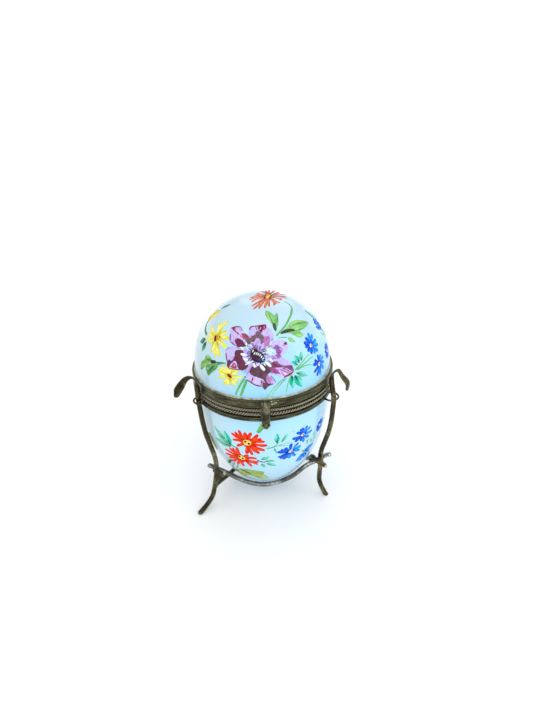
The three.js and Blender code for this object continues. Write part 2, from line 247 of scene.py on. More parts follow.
class Nodes:
    """A small builder for one material's node tree."""

    def __init__(self, name):
        self.material = bpy.data.materials.new(name)
        self.material.use_nodes = True
        self.tree = self.material.node_tree
        self.shader = self.tree.nodes["Principled BSDF"]

    def add(self, kind, **values):
        node = self.tree.nodes.new(kind)
        for key, value in values.items():
            if key in node.inputs:
                node.inputs[key].default_value = value
            else:
                setattr(node, key, value)
        return node

    def link(self, source, target):
        self.tree.links.new(source, target)

    def coords(self):
        return self.add("ShaderNodeTexCoord").outputs["Object"]

    def noise(self, scale, detail=4.0, rough=0.55, where=None):
        node = self.add("ShaderNodeTexNoise", Scale=scale, Detail=detail, Roughness=rough)
        self.link(where or self.coords(), node.inputs["Vector"])
        return node.outputs["Fac"]

    def ramp(self, source, stops):
        node = self.add("ShaderNodeValToRGB")
        fill_ramp(node.color_ramp, stops)
        self.link(source, node.inputs["Fac"])
        return node.outputs["Color"]

    def fit(self, source, low, high):
        """0 where the source is low, to 1 where it is high."""
        node = self.add("ShaderNodeMapRange", **{"From Min": low, "From Max": high})
        self.link(source, node.inputs["Value"])
        return node.outputs["Result"]

    def mix(self, factor, a, b, mode="MIX"):
        node = self.add("ShaderNodeMix", data_type="RGBA", blend_type=mode)
        for socket, value in ((node.inputs[0], factor), (node.inputs[6], a), (node.inputs[7], b)):
            if isinstance(value, bpy.types.NodeSocket):
                self.link(value, socket)
            elif isinstance(value, (int, float)):
                socket.default_value = value
            else:
                socket.default_value = (*value, 1)
        return node.outputs[2]

    def math(self, operation, a, b=0.0):
        node = self.add("ShaderNodeMath", operation=operation)
        for socket, value in zip(node.inputs, (a, b)):
            if isinstance(value, bpy.types.NodeSocket):
                self.link(value, socket)
            else:
                socket.default_value = value
        return node.outputs[0]

    def bump(self, height, strength, distance):
        node = self.add("ShaderNodeBump", Strength=strength, Distance=distance)
        self.link(height, node.inputs["Height"])
        self.link(node.outputs["Normal"], self.shader.inputs["Normal"])

    def set(self, **values):
        for key, value in values.items():
            socket = self.shader.inputs[key.replace("_", " ")]
            if isinstance(value, bpy.types.NodeSocket):
                self.link(value, socket)
            else:
                socket.default_value = (*value, 1) if isinstance(value, tuple) else value


# Painted shade: the glaze is greyed towards the box's left side, where less light falls.
SHADED_SIDE_GREY = srgb(205, 214, 212)  # the glaze greys towards the box's left side, between these x
SHADE_FROM, SHADE_TO = -36, -8


def porcelain_material(name, low, high, tints):
    """Glazed porcelain tinted sky blue, unevenly, with kiln specks under the glaze. The tints
    run between two heights in local millimetres; painted shade greys the box's left side."""
    n = Nodes(name)
    split = n.add("ShaderNodeSeparateXYZ")
    n.link(n.coords(), split.inputs[0])
    fraction = n.fit(split.outputs["Z"], ORIGIN.z + low * MM, ORIGIN.z + high * MM)
    cloud = n.noise(28, 3, 0.6)
    place = n.math("ADD", fraction, n.math("MULTIPLY", n.math("SUBTRACT", cloud, 0.5), 0.5))
    tint = n.ramp(place, [(at_share, srgb(*colour)) for at_share, colour in tints])
    side = n.fit(split.outputs["X"], ORIGIN.x + SHADE_FROM * MM, ORIGIN.x + SHADE_TO * MM)
    body = n.mix(0.75, tint, n.mix(side, SHADED_SIDE_GREY, tint))
    speck = n.ramp(n.noise(520, 2, 0.5), [(0.72, BLACK), (0.78, WHITE)])
    smudge = n.ramp(n.noise(150, 3, 0.6), [(0.66, BLACK), (0.76, WHITE)])
    speckled = n.mix(n.math("MULTIPLY", speck, 0.35), body, srgb(120, 120, 112))
    stained = n.mix(n.math("MULTIPLY", smudge, 0.16), speckled, srgb(140, 160, 165))
    n.set(Base_Color=stained, Roughness=0.16, Specular_IOR_Level=0.4, Coat_Weight=0.12, Coat_Roughness=0.2)
    n.bump(n.noise(95, 2, 0.5), 0.12, 0.0006)
    return n.material


def enamel_material():
    """Overglaze enamel: its colour is painted on the strokes, with brush streaks and pinholes."""
    n = Nodes("enamel")
    paint = n.add("ShaderNodeAttribute", attribute_name="paint", attribute_type="GEOMETRY")
    fine = n.ramp(n.noise(900, 3, 0.6), [(0.3, (0.82, 0.82, 0.82)), (0.7, (1.12, 1.12, 1.12))])
    colour = n.mix(1.0, paint.outputs["Color"], fine, "MULTIPLY")
    n.set(Base_Color=colour, Roughness=0.4, Specular_IOR_Level=0.12)
    n.bump(n.noise(700, 2, 0.5), 0.2, 0.0001)
    return n.material


def brass_material(name, colours, wear, rough, scale=1.0, streak=False):
    """Aged metal: dark patina in the hollows, rubbed metal on the edges, fine pitting."""
    n = Nodes(name)
    dark, mid, bright = (srgb(*colour) for colour in colours)
    where = n.coords()
    if streak:
        mapping = n.add("ShaderNodeMapping")
        mapping.inputs["Scale"].default_value = (1, 1, 6)
        n.link(where, mapping.inputs["Vector"])
        where = mapping.outputs["Vector"]
    blotch = n.noise(130 * scale, 5, 0.62, where)
    grain = n.noise(900 * scale, 3, 0.6)
    patina = n.ramp(
        n.math("ADD", blotch, n.math("MULTIPLY", n.math("SUBTRACT", grain, 0.5), 0.35)),
        [(0.36, dark), (0.52, mid), (0.68, bright)],
    )
    geometry = n.add("ShaderNodeNewGeometry")
    edge = n.ramp(geometry.outputs["Pointiness"], [(0.5, BLACK), (0.6, WHITE)])
    hollow = n.ramp(geometry.outputs["Pointiness"], [(0.40, WHITE), (0.49, BLACK)])
    worn = n.mix(n.math("MULTIPLY", edge, wear), patina, bright)
    grimy = n.mix(n.math("MULTIPLY", hollow, 0.8), worn, tuple(c * 0.35 for c in dark))
    shine = n.math("MULTIPLY_ADD", blotch, 0.3)
    shine.node.inputs[2].default_value = rough - 0.15
    n.set(Base_Color=grimy, Metallic=0.92, Roughness=shine)
    n.bump(n.math("ADD", grain, blotch), 0.25, 0.00012)
    return n.material


def grainy_material(name, scale, rough_grain, tints, metallic, rough):
    """Cement or solder: one grain gives both its colours and its roughened surface."""
    n = Nodes(name)
    grain = n.noise(scale, 4, rough_grain)
    colour = n.ramp(grain, [(share, srgb(*colour)) for share, colour in tints])
    n.set(Base_Color=colour, Metallic=metallic, Roughness=rough)
    n.bump(grain, 0.5, 0.0002)
    return n.material


# Dark, middle and bright colour, wear on the edges, roughness, scale of the grain, drawn streaks.
COLLAR_BRASS, ROPE_BRASS, WIRE_BRASS, BOW_PAINTED_REFLECTION, CLASP_BRASS, TARNISH_AND_SHADE, TIN_AND_HIGHLIGHT = (
    brass_material(name, *values)
    for name, values in {
        "collar_brass": (((38, 37, 27), (70, 70, 48), (112, 112, 86)), 0.6, 0.4, 1.0, True),
        "rope_brass": (((16, 14, 10), (46, 43, 32), (150, 147, 126)), 1.0, 0.26, 1.4),
        "wire_brass": (((28, 23, 14), (64, 56, 36), (128, 120, 90)), 0.5, 0.24, 0.8),
        # A paler, silvery copy of the wire's brass for the front bow: a painted reflection.
        "bow_painted_reflection": (((40, 38, 32), (108, 107, 100), (190, 190, 184)), 0.6, 0.2, 0.8),
        "clasp_brass": (((18, 16, 12), (56, 53, 40), (122, 118, 94)), 0.9, 0.24, 1.2),
        # Dark metal for the ornament's dimples: tarnish and painted shade.
        "tarnish_and_painted_shade": (((16, 14, 12), (28, 25, 20), (60, 54, 44)), 0.3, 0.6),
        # Bright tin: real drips of solder, and lumps painted as the solder's highlights.
        "tin_and_painted_highlight": (((150, 140, 110), (205, 196, 160), (240, 234, 210)), 0.6, 0.38, 1.5),
    }.items()
)
CEMENT_TINTS = [(0.35, (104, 98, 74)), (0.5, (168, 160, 130)), (0.68, (216, 212, 192))]
SOLDER_TINTS = [(0.35, (40, 34, 26)), (0.55, (84, 78, 66)), (0.72, (150, 146, 136))]
CEMENT = grainy_material("cement_line", 420, 0.65, CEMENT_TINTS, 0, 0.75)
SOLDER = grainy_material("solder", 350, 0.6, SOLDER_TINTS, 0.85, 0.42)
ENAMEL = enamel_material()
# The lid's tint pales and greys towards its crown: a painted sheen.
LID_TINTS = [(0.0, (146, 208, 242)), (0.45, (162, 214, 242)), (1.0, (190, 216, 230))]
BOWL_TINTS = [(0.0, (160, 202, 226)), (0.5, (174, 220, 245)), (1.0, (166, 217, 245))]
LID_GLAZE = porcelain_material("lid_glaze", 4, 43, LID_TINTS)
BOWL_GLAZE = porcelain_material("bowl_glaze", -66, -6, BOWL_TINTS)

# ---- Porcelain ------------------------------------------------------------------------------


SETTLE_STEPS = 6


class Shell:
    """The outside of one porcelain half, a super-ellipse of revolution beyond the collar."""

    def __init__(self, body, radius, start, end, power_r, power_z):
        self.body, self.radius, self.start = body, radius, start
        self.height = abs(end) - start
        self.sign = 1 if end > 0 else -1
        self.power_r, self.power_z = power_r, power_z

    def gradient(self, p):
        """The super-ellipse's value, 0 on the surface, and its slope."""
        r = np.maximum(np.hypot(p[..., 0], p[..., 1]), 1e-6)
        z = np.maximum(self.sign * p[..., 2] - self.start, 1e-6)
        value = (r / self.radius) ** self.power_r + (z / self.height) ** self.power_z - 1
        gr = self.power_r / self.radius * (r / self.radius) ** (self.power_r - 1)
        gz = self.power_z / self.height * (z / self.height) ** (self.power_z - 1)
        return value, np.stack([gr * p[..., 0] / r, gr * p[..., 1] / r, self.sign * gz], -1)

    def settle(self, p):
        """The points moved along the slope onto the surface, by Newton's method."""
        for _ in range(SETTLE_STEPS):
            value, slope = self.gradient(p)
            p = p - (value / np.maximum((slope**2).sum(-1), 1e-12))[..., None] * slope
        return p

    def normal(self, p):
        slope = self.gradient(p)[1]
        return slope / np.linalg.norm(slope, axis=-1)[..., None]

    def radius_at(self, z):
        share = np.clip((self.sign * z - self.start) / self.height, 0, 1)
        return self.radius * (1 - share**self.power_z) ** (1 / self.power_r)

    def outline(self, steps, inset=0.0):
        """Points from the collar's edge to the tip, denser towards the shoulder's curve."""
        points = []
        for i in range(steps + 1):
            a = math.pi / 2 * (i / steps) ** 0.85
            r = (self.radius - inset) * max(math.cos(a), 0) ** (2 / self.power_r)
            z = self.start + (self.height - inset) * math.sin(a) ** (2 / self.power_z)
            points.append([0.0 if i == steps else r, self.sign * z])
        return points


DOME = Shell("lid", 34.9, 5.92, 42.9, 2.50, 2.18)
BOWL = Shell("base", 34.83, 5.92, -68.3, 1.73, 2.26)
LID_WALL, BOWL_WALL = 2.2, 2.4
EGG_SIDES = 192
EGG_STEPS = 72


def porcelain(name, shell, wall, edge, material, node):
    """A hollow half; its ground, slightly rounded rim stands at height edge in the collar."""
    outside = shell.outline(EGG_STEPS)
    inside = shell.outline(EGG_STEPS // 2, wall)
    seat = shell.radius - 0.6
    inner = shell.radius - wall
    s = shell.sign
    rim = [
        [inner, edge + s * 0.5],
        [inner + 0.25, edge + s * 0.1],
        [inner + 0.7, edge],
        [seat - 0.5, edge],
        [seat - 0.12, edge + s * 0.15],
        [seat, edge + s * 0.6],
        [seat, s * 5.1],
        [shell.radius, s * 5.7],
    ]
    outline = inside[::-1] + rim + outside
    make(name, egg_skin(outline, EGG_SIDES), material, shell.body, [node])


porcelain("lid_porcelain", DOME, LID_WALL, 0.25, LID_GLAZE, "lid_dome")
porcelain("bowl_porcelain", BOWL, BOWL_WALL, -1.95, BOWL_GLAZE, "base_bowl")

# ---- Painting -------------------------------------------------------------------------------

EMBED = -0.03  # how far a stroke's rim is sunk into the glaze
STEM_POWER = 0.12
STROKE_STEP = 0.8
WIDE_ROWS = (-1, -0.86, -0.3, 0.3, 0.86, 1)  # places across a stroke, as shares of its half width
NARROW_ROWS = (-1, -0.8, 0.8, 1)
WIDE = 0.9  # strokes wider than this get the wide rows
RAGGED = 0.1  # how much a stroke's edge wanders, as a share of its half width
SHADOW_SHARE = 0.7  # how many of the petals get a shadow stroke on top


class Spray:
    """Enamel strokes laid on a shell in a tangent frame and gathered into one thin piece.
    u runs to the right and v up, in millimetres from the frame's centre."""

    def __init__(self, name, shell, azimuth, height, relief=1.0):
        self.name, self.shell, self.relief = name, shell, relief
        self.random = random.Random(name)
        start = outward(azimuth) * float(shell.radius_at(height))
        start[2] = height
        self.centre = shell.settle(start)
        self.east = sideways(azimuth)
        north = np.cross(shell.normal(self.centre), self.east)
        self.north = north * math.copysign(1, north[2])
        self.verts, self.colours, self.faces = [], [], []

    def place(self, uv, depth):
        """Points of the frame laid on the shell, raised by depth."""
        flat = self.centre + uv[:, :1] * self.east + uv[:, 1:] * self.north
        skin = self.shell.settle(flat)
        return skin + self.shell.normal(skin) * np.asarray(depth)[:, None] * self.relief

    def lay(self, uv, depth, colours, faces, rim):
        """Adds a patch, raised on top and closed underneath just inside the glaze."""
        uv = np.asarray(uv, float)
        start = len(self.verts)
        self.verts += self.place(uv, np.where(rim, EMBED, depth)).tolist()
        self.colours += list(colours)
        inner = [i for i in range(len(uv)) if not rim[i]]
        below = {i: start + len(uv) + k for k, i in enumerate(inner)}
        if inner:
            self.verts += self.place(uv[inner], np.full(len(inner), 2 * EMBED)).tolist()
            self.colours += [colours[i] for i in inner]
        self.faces += [[start + i for i in face] for face in faces]
        self.faces += [[below.get(i, start + i) for i in reversed(face)] for face in faces]

    def stroke(self, line, width, shades, lift=0.03, thick=0.05, skew=1.35, power=0.55, streak=0.10):
        """One pull of the brush along the line, its colour going through the shades."""
        line = np.asarray(line, float)
        length = np.linalg.norm(np.diff(line, axis=0), axis=1).sum()
        count = int(min(max(length / STROKE_STEP, 6), 60)) + 1
        path = even(spline(line, 8), count)
        along = np.gradient(path, axis=0)
        along /= np.maximum(np.linalg.norm(along, axis=1), 1e-6)[:, None]
        across = np.stack([-along[:, 1], along[:, 0]], 1)
        seed = self.random.random() * 90
        rows = WIDE_ROWS if width > WIDE else NARROW_ROWS
        uv, depth, colours, rim = [], [], [], []
        for i in range(count):
            t = i / (count - 1)
            half = width / 2 * max(math.sin(math.pi * min(max(t, 0.02), 0.985) ** skew) ** power, 0.12)
            shade = blend(shades, t)
            for s in rows:
                edge = abs(s) == 1 or i in (0, count - 1)
                ripple = 1 + streak * 2 * noise.noise(Vector((s * 2.3 + seed, t * 1.6, seed)))
                ragged = 1 + RAGGED * noise.noise(Vector((t * 5, s * 9, seed))) if abs(s) == 1 else 1
                uv.append(path[i] + across[i] * half * s * ragged)
                depth.append(lift + thick * (1 - s * s) ** 0.5)
                colours.append(shade * ripple)
                rim.append(edge)
        n = len(rows)
        faces = [
            [i * n + k, i * n + k + 1, (i + 1) * n + k + 1, (i + 1) * n + k]
            for i in range(count - 1)
            for k in range(n - 1)
        ]
        self.lay(uv, depth, colours, faces, np.array(rim))

    def blot(self, outline, shade, lift=0.03, thick=0.05, spacing=0.75, round_by=4):
        """A filled shape. shade is a colour or a function of the place giving one."""
        loop = np.asarray(list(outline) + [outline[0]], float)
        if round_by:
            closed = np.concatenate([loop[-2:-1], loop, loop[1:2]])
            loop = spline(closed, round_by)[round_by : -round_by]
        rim_points = loop[:-1]
        low, high = rim_points.min(0), rim_points.max(0)
        a, b = rim_points, np.roll(rim_points, -1, axis=0)

        def to_rim(p):
            t = np.clip(((p - a) * (b - a)).sum(1) / np.maximum(((b - a) ** 2).sum(1), 1e-9), 0, 1)
            return np.linalg.norm(a + (b - a) * t[:, None] - p, axis=1).min()

        def inside(p):
            crosses = (a[:, 1] > p[1]) != (b[:, 1] > p[1])
            x = a[:, 0] + (p[1] - a[:, 1]) * (b[:, 0] - a[:, 0]) / np.where(crosses, b[:, 1] - a[:, 1], 1)
            return (crosses & (p[0] < x)).sum() % 2 == 1

        grid = []
        for row, v in enumerate(np.arange(low[1], high[1], spacing * 0.87)):
            for u in np.arange(low[0] + spacing / 2 * (row % 2), high[0], spacing):
                p = np.array([u, v])
                if inside(p) and to_rim(p) > spacing * 0.4:
                    grid.append(p)
        points = [Vector(p) for p in rim_points] + [Vector(p) for p in grid]
        flat = delaunay_2d_cdt(points, [], [list(range(len(rim_points)))], 1, 1e-5)
        uv = np.array([tuple(p) for p in flat[0]])
        far = np.array([to_rim(p) for p in uv])
        rim = far < 1e-3
        depth = lift + thick * (1 - np.exp(-far / 0.3))
        colours = [shade(p) if callable(shade) else np.array(shade) for p in uv]
        self.lay(uv, depth, colours, flat[2], rim)

    def brushed(self, light, dark, hub, fine, share=0.5):
        """A colour function with brush streaks that run out from the hub."""
        light, dark = np.array(light), np.array(dark)
        seed = self.random.random() * 60

        def shade(p):
            d = p - np.array(hub)
            angle, radius = math.atan2(d[1], d[0]), math.hypot(*d)
            wave = noise.noise(Vector((angle * fine, radius * 0.12, seed)))
            wave += 0.5 * noise.noise(Vector((angle * fine * 2.6, radius * 0.2, seed + 7)))
            k = min(max(share + wave * 1.3, 0), 1)
            return dark * (1 - k) + light * k

        return shade

    def disc(self, centre, across, high, shade, lift=0.09, thick=0.12):
        """A roundish raised heart of a flower."""
        sides = 14
        outline = []
        for k in range(sides):
            a = 2 * math.pi * k / sides
            r = 1 + 0.08 * self.random.uniform(-1, 1)
            u = centre[0] + across / 2 * r * math.cos(a)
            outline.append((u, centre[1] + high / 2 * r * math.sin(a)))
        self.blot(outline, shade, lift, thick, 0.5, 3)

    def dots(self, centre, reach, count, size, shades, lift=0.16):
        """Small dabs scattered about a centre."""
        for _ in range(count):
            a = self.random.uniform(0, 2 * math.pi)
            r = reach * math.sqrt(self.random.random())
            u, v = centre[0] + r * math.cos(a), centre[1] + r * math.sin(a)
            shade = np.array(self.random.choice(shades))
            s = size * self.random.uniform(0.7, 1.2)
            self.stroke([(u - s / 2, v), (u, v), (u + s / 2, v)], s, [shade, shade], lift, 0.05, 1, 0.5, 0)

    def petal(self, hub, tip, width, shades, start=0.22, bow=0.08):
        """Shadow, body and highlight strokes of one petal; shades run dark, middle, light."""
        hub, tip = np.array(hub, float), np.array(tip, float)
        reach = tip - hub
        across = np.array([-reach[1], reach[0]])
        side = across * self.random.uniform(-bow, bow)
        base, middle = hub + reach * start, hub + reach * 0.62 + side
        dark, mid, light = shades
        self.stroke([base, middle, tip], width, [dark, mid, mid], 0.02, 0.03, 1.5)
        off = across / np.hypot(*reach) * width * 0.16 * self.random.choice((-1, 1))
        end = hub + reach * self.random.uniform(0.78, 0.93)
        highlight = [base + off, middle + off, end + off]
        self.stroke(highlight, width * 0.5, [mid, light, light], 0.05, 0.04, 1.3)
        if self.random.random() < SHADOW_SHARE:
            end = hub + reach * self.random.uniform(0.5, 0.75)
            self.stroke([base - off * 1.3, end - off * 1.4], width * 0.26, [dark, mid], 0.07, 0.03, 1.0)

    def daisy(self, hub, tips, width, shades, under, start=0.22):
        """Petals to the given tips, with shorter darker ones showing between them."""
        tips = [np.array(t, float) for t in tips]
        hub = np.array(hub, float)
        for a, b in zip(tips, tips[1:] + tips[:1]):
            between = hub + ((a + b) / 2 - hub) * 0.5
            line = [hub + (between - hub) * 0.2, between]
            self.stroke(line, width * 0.5, [under, under], 0.0, 0.035, 1.2)
        for tip in tips:
            self.petal(hub, tip, width * self.random.uniform(0.85, 1.12), shades, start)

    def stem(self, line, width, shade, tip=None):
        self.stroke(line, width, [shade, tip or shade], 0.0, 0.05, 1.0, STEM_POWER, 0.16)

    def leaf(self, base, tip, width, shades, swell=0.45):
        """A two-toned leaf: a full shape, a lighter half and a dark vein from the base."""
        base, tip = np.array(base, float), np.array(tip, float)
        reach = tip - base
        side = np.array([-reach[1], reach[0]]) / np.hypot(*reach)
        dark, mid, light = shades
        edge = [(0.0, 0.05), (0.15, 0.3), (swell, 0.5), (0.75, 0.32), (1.0, 0.0)]
        left = [base + reach * t + side * width * w for t, w in edge]
        right_side = [base + reach * t - side * width * w for t, w in reversed(edge[:-1])]
        shadow = tuple(0.82 * np.array(mid))
        self.blot(left + right_side, self.brushed(mid, shadow, base, 5, 0.6), 0.02, 0.04)
        lean = side * width * 0.2 * self.random.choice((-1, 1))
        lit = [base + reach * 0.15 + lean * 0.6, base + reach * 0.55 + lean, base + reach * 0.93]
        self.stroke(lit, width * 0.36, [mid, light, light], 0.05, 0.03)
        self.stroke([base, base + reach * 0.55], width * 0.24, [dark, dark, mid], 0.06, 0.03, 0.8, 0.4)

    def plain_strokes(self, rows, lift, thick, power):
        """Strokes of one shade each, from (line, width, shade) rows."""
        for line, width, shade in rows:
            self.stroke(line, width, [shade, shade], lift, thick, 1, power)

    def washes(self, rows, hub, fine, share, lift, thick):
        """Brushed shapes, from (outline, light, dark) rows."""
        for outline, light, dark in rows:
            self.blot(outline, self.brushed(light, dark, hub, fine, share), lift, thick)

    def leaves(self, rows):
        """Leaves, from (base, tip, width, shades) rows."""
        for base, tip, width, shades in rows:
            self.leaf(base, tip, width, shades)

    def finish(self):
        colours = np.clip(np.array(self.colours), 0, 1)
        shape = self.verts, self.faces
        make(self.name, shape, ENAMEL, self.shell.body, (), colours, False)


def blend(shades, t):
    """The colour at share t of the way through the shades."""
    shades = [np.array(s) for s in shades]
    place = t * (len(shades) - 1)
    k = min(int(place), len(shades) - 2)
    return shades[k] * (1 - (place - k)) + shades[k + 1] * (place - k)


MIDDLE = (0, 0)
LAVENDER = srgb(198, 190, 246)
LILAC = srgb(186, 160, 226)
MAUVE = srgb(178, 108, 172)
GREY_PLUM = srgb(120, 98, 108)
BROWN_PLUM = srgb(92, 58, 72)
WINE = srgb(112, 44, 76)
PLUM = srgb(74, 34, 52)
DEEP_PLUM = srgb(56, 24, 46)
MAROON = srgb(88, 28, 46)
MAGENTA = srgb(150, 58, 116)
CRIMSON = srgb(142, 40, 84)
PINK = srgb(222, 138, 176)
CREAM_WHITE = srgb(236, 246, 240)
NAVY = srgb(44, 44, 88)
CYAN_WHITE = srgb(196, 234, 240)

GOLD = srgb(226, 210, 66)
OCHRE = srgb(208, 150, 28)
BROWN = srgb(78, 26, 16)
RUST = srgb(176, 62, 26)
ROSE_RUST = srgb(200, 92, 54)
PALE_RUST = srgb(220, 138, 106)
SCARLET = srgb(228, 34, 0)
ORANGE = srgb(242, 74, 0)
BLOOD = srgb(176, 18, 2)
BUTTER = srgb(242, 232, 120)
COBALT = srgb(0, 104, 230)
SKY = srgb(40, 160, 250)
ROYAL = srgb(8, 62, 204)
INK = srgb(14, 28, 142)
TEAL = srgb(26, 190, 160)
MINT = srgb(116, 216, 190)
SPRING = srgb(152, 212, 136)
FRESH = srgb(112, 178, 96)
MOSS = srgb(62, 112, 70)
DEEP_GREEN = srgb(48, 76, 62)
STEM = srgb(96, 176, 104)
TEAL_LEAF = (DEEP_GREEN, TEAL, MINT)
SAGE_LEAF = (MOSS, srgb(96, 196, 160), MINT)
GREEN_LEAF = (DEEP_GREEN, FRESH, SPRING)


def anemone_petals(s):
    """The anemone's pale petals and the washes of colour on them."""
    petals = [
        [(-14.8, 14.5), (-13.3, 15.3), (-8.7, 14.8), (-7.7, 13), (-6.7, 10.7), (-5, 8), (-4, 4.5),
         (-10.7, 4), (-14, 6.7), (-14.3, 11.2)],
        [(-3.9, 12.5), (-3.2, 14.2), (1, 15), (4.3, 15.7), (5, 14), (6.3, 13.3), (7.4, 12), (8.1, 9.7),
         (7.7, 7.3), (6, 5.3), (1, 3), (-3.3, 5.3), (-4, 9)],
        [(-16.5, 2), (-14, 4), (-10.7, 4), (-5.3, 3.3), (-2.7, -3.3), (-6.3, -7), (-15.3, -6.5),
         (-16, -2.7)],
        [(6.2, 5), (7, 6.3), (9.3, 7.2), (13, 7.2), (14.8, 6), (16, 4.8), (15, 2.3), (12.7, -0.7),
         (9.3, -2.3), (3, -1)],
        [(6, -1.7), (9.3, -1.3), (13.7, -1.8), (16, -3.3), (18.3, -6), (19.7, -9), (17.3, -10.7),
         (13.3, -11.8), (9.6, -10.3), (6, -8.7), (3, -4)],
        [(-5.3, -7.3), (-5.6, -10.5), (-4, -12.7), (-0.7, -15), (2.3, -15.7), (3.7, -17.8), (5.3, -16),
         (9.3, -14.5), (8, -12.3), (6, -9.7), (4.3, -4.7), (-2.7, -3)],
    ]
    s.washes([(outline, LAVENDER, LILAC) for outline in petals], MIDDLE, 6, 0.72, 0.0, 0.05)
    washes = [
        ([(-9, 10.7), (-7.5, 11), (-6, 10.7), (-4.3, 9.5), (-3.2, 7.5), (-5.5, 6.8), (-8, 8.3)],
         srgb(198, 104, 138), CRIMSON),
        ([(2, 10.7), (3.3, 9), (5.2, 9.2), (6.4, 6.3), (5.3, 4.4), (2.6, 4.4), (1.5, 7)],
         srgb(190, 122, 188), MAUVE),
        ([(0.3, 14.6), (4.3, 15.6), (4.3, 13.5), (3, 12), (2, 10), (0.4, 11.4)], CRIMSON, MAROON),
        ([(-14.6, 14.4), (-11.5, 14.9), (-11, 13.6), (-9.4, 11.6), (-8, 10), (-9.6, 9.8), (-12.2, 12)],
         CRIMSON, MAROON),
        ([(8, 4.7), (10.6, 4.9), (10.9, 3), (12.4, 2.1), (11.6, 0.7), (11.6, -0.8), (9.3, -1.9),
          (7.6, 0.7)], srgb(128, 110, 196), srgb(150, 84, 160)),
        ([(5, -5), (9.3, -6.2), (11, -8), (12.2, -10.3), (8.7, -9.4), (6, -8.7)], MAUVE, MAGENTA),
        ([(3, -9), (5.6, -9.6), (7.6, -12.4), (6.4, -14.4), (3.4, -14.6)], srgb(196, 150, 206), MAUVE),
        ([(3.2, 4.5), (5.6, 4.9), (7.6, 3.8), (6, 1), (3.3, 1)], srgb(176, 164, 214), MAUVE),
    ]
    s.washes(washes, MIDDLE, 8, 0.55, 0.05, 0.04)


def anemone_folds(s):
    """The dark folds of the petals, with a lighter turned-up corner on the left."""
    folds = [
        ([(-11.3, 6.7), (-10.7, 8), (-9, 8.5), (-7, 7.3), (-5.3, 5.3), (-4.8, 4), (-7.3, 3.7),
          (-9.7, 3.8), (-10.2, 5)], WINE, BROWN_PLUM),
        ([(-6.5, 8), (-4.7, 8.8), (-3.4, 8.2), (-3, 9.4), (-1.3, 9.9), (-0.6, 11.5), (1.3, 11.6),
          (2.7, 9.7), (3.8, 8), (3, 5.7), (1.8, 4.2), (0.9, 7.2), (-0.3, 7.2), (-1, 5.6), (-2.7, 5.8),
          (-3.3, 4.4), (-5.3, 6)], GREY_PLUM, srgb(112, 76, 88)),
        ([(-11.2, 1), (-10.7, 2.3), (-9, 2.8), (-6.7, 2.3), (-5.8, 1.3), (-6.4, -0.9), (-5.4, -2.9),
          (-4, -4.9), (-5.7, -6.7), (-9.3, -6.8), (-10, -4.7), (-10.7, -3.3), (-13, -4.7), (-14.3, -6.7),
          (-15.7, -6.2), (-15.7, -3.7), (-14.8, -2.2), (-12.7, -2.3), (-11.3, -0.7)], WINE, BROWN_PLUM),
        ([(6.4, -3.7), (9.3, -2.6), (10.7, -4), (13.3, -5), (17.7, -5.3), (19.1, -7.3), (19.7, -8.8),
          (17.3, -8.9), (15.7, -7.7), (13, -6.7), (9.3, -6.4), (6.2, -5.8)], srgb(140, 98, 136), WINE),
        ([(-3.9, -7.3), (-2.7, -5), (-0.7, -5.2), (1.3, -3.9), (4.3, -4.2), (7, -6), (6.7, -8),
          (5.3, -9.3), (4.8, -12), (5.4, -13.6), (9.3, -14.3), (5.7, -15.7), (3.7, -17.8), (2.2, -15.7),
          (2.9, -12.7), (0.7, -11.2), (-2, -10.2), (-3.7, -9)], srgb(110, 76, 96), srgb(74, 48, 58)),
        ([(12.3, 4.9), (14.3, 6.5), (15.3, 5.9), (14, 4.7)], WINE, MAROON),
        ([(-6.5, -10.4), (-5.8, -10.1), (-5.5, -10.9), (-6.1, -11.3)], WINE, MAROON),
    ]
    s.washes(folds, MIDDLE, 9, 0.5, 0.09, 0.04)
    s.blot([(-14, -6.3), (-13, -4.7), (-10.9, -3.4), (-9.9, -6.6)],
           s.brushed(srgb(206, 110, 140), CRIMSON, MIDDLE, 8, 0.5), 0.12, 0.03)
    s.blot([(-12.6, -5.7), (-10.9, -4.1), (-10.3, -5.7)], PINK, 0.15, 0.02, 0.5)


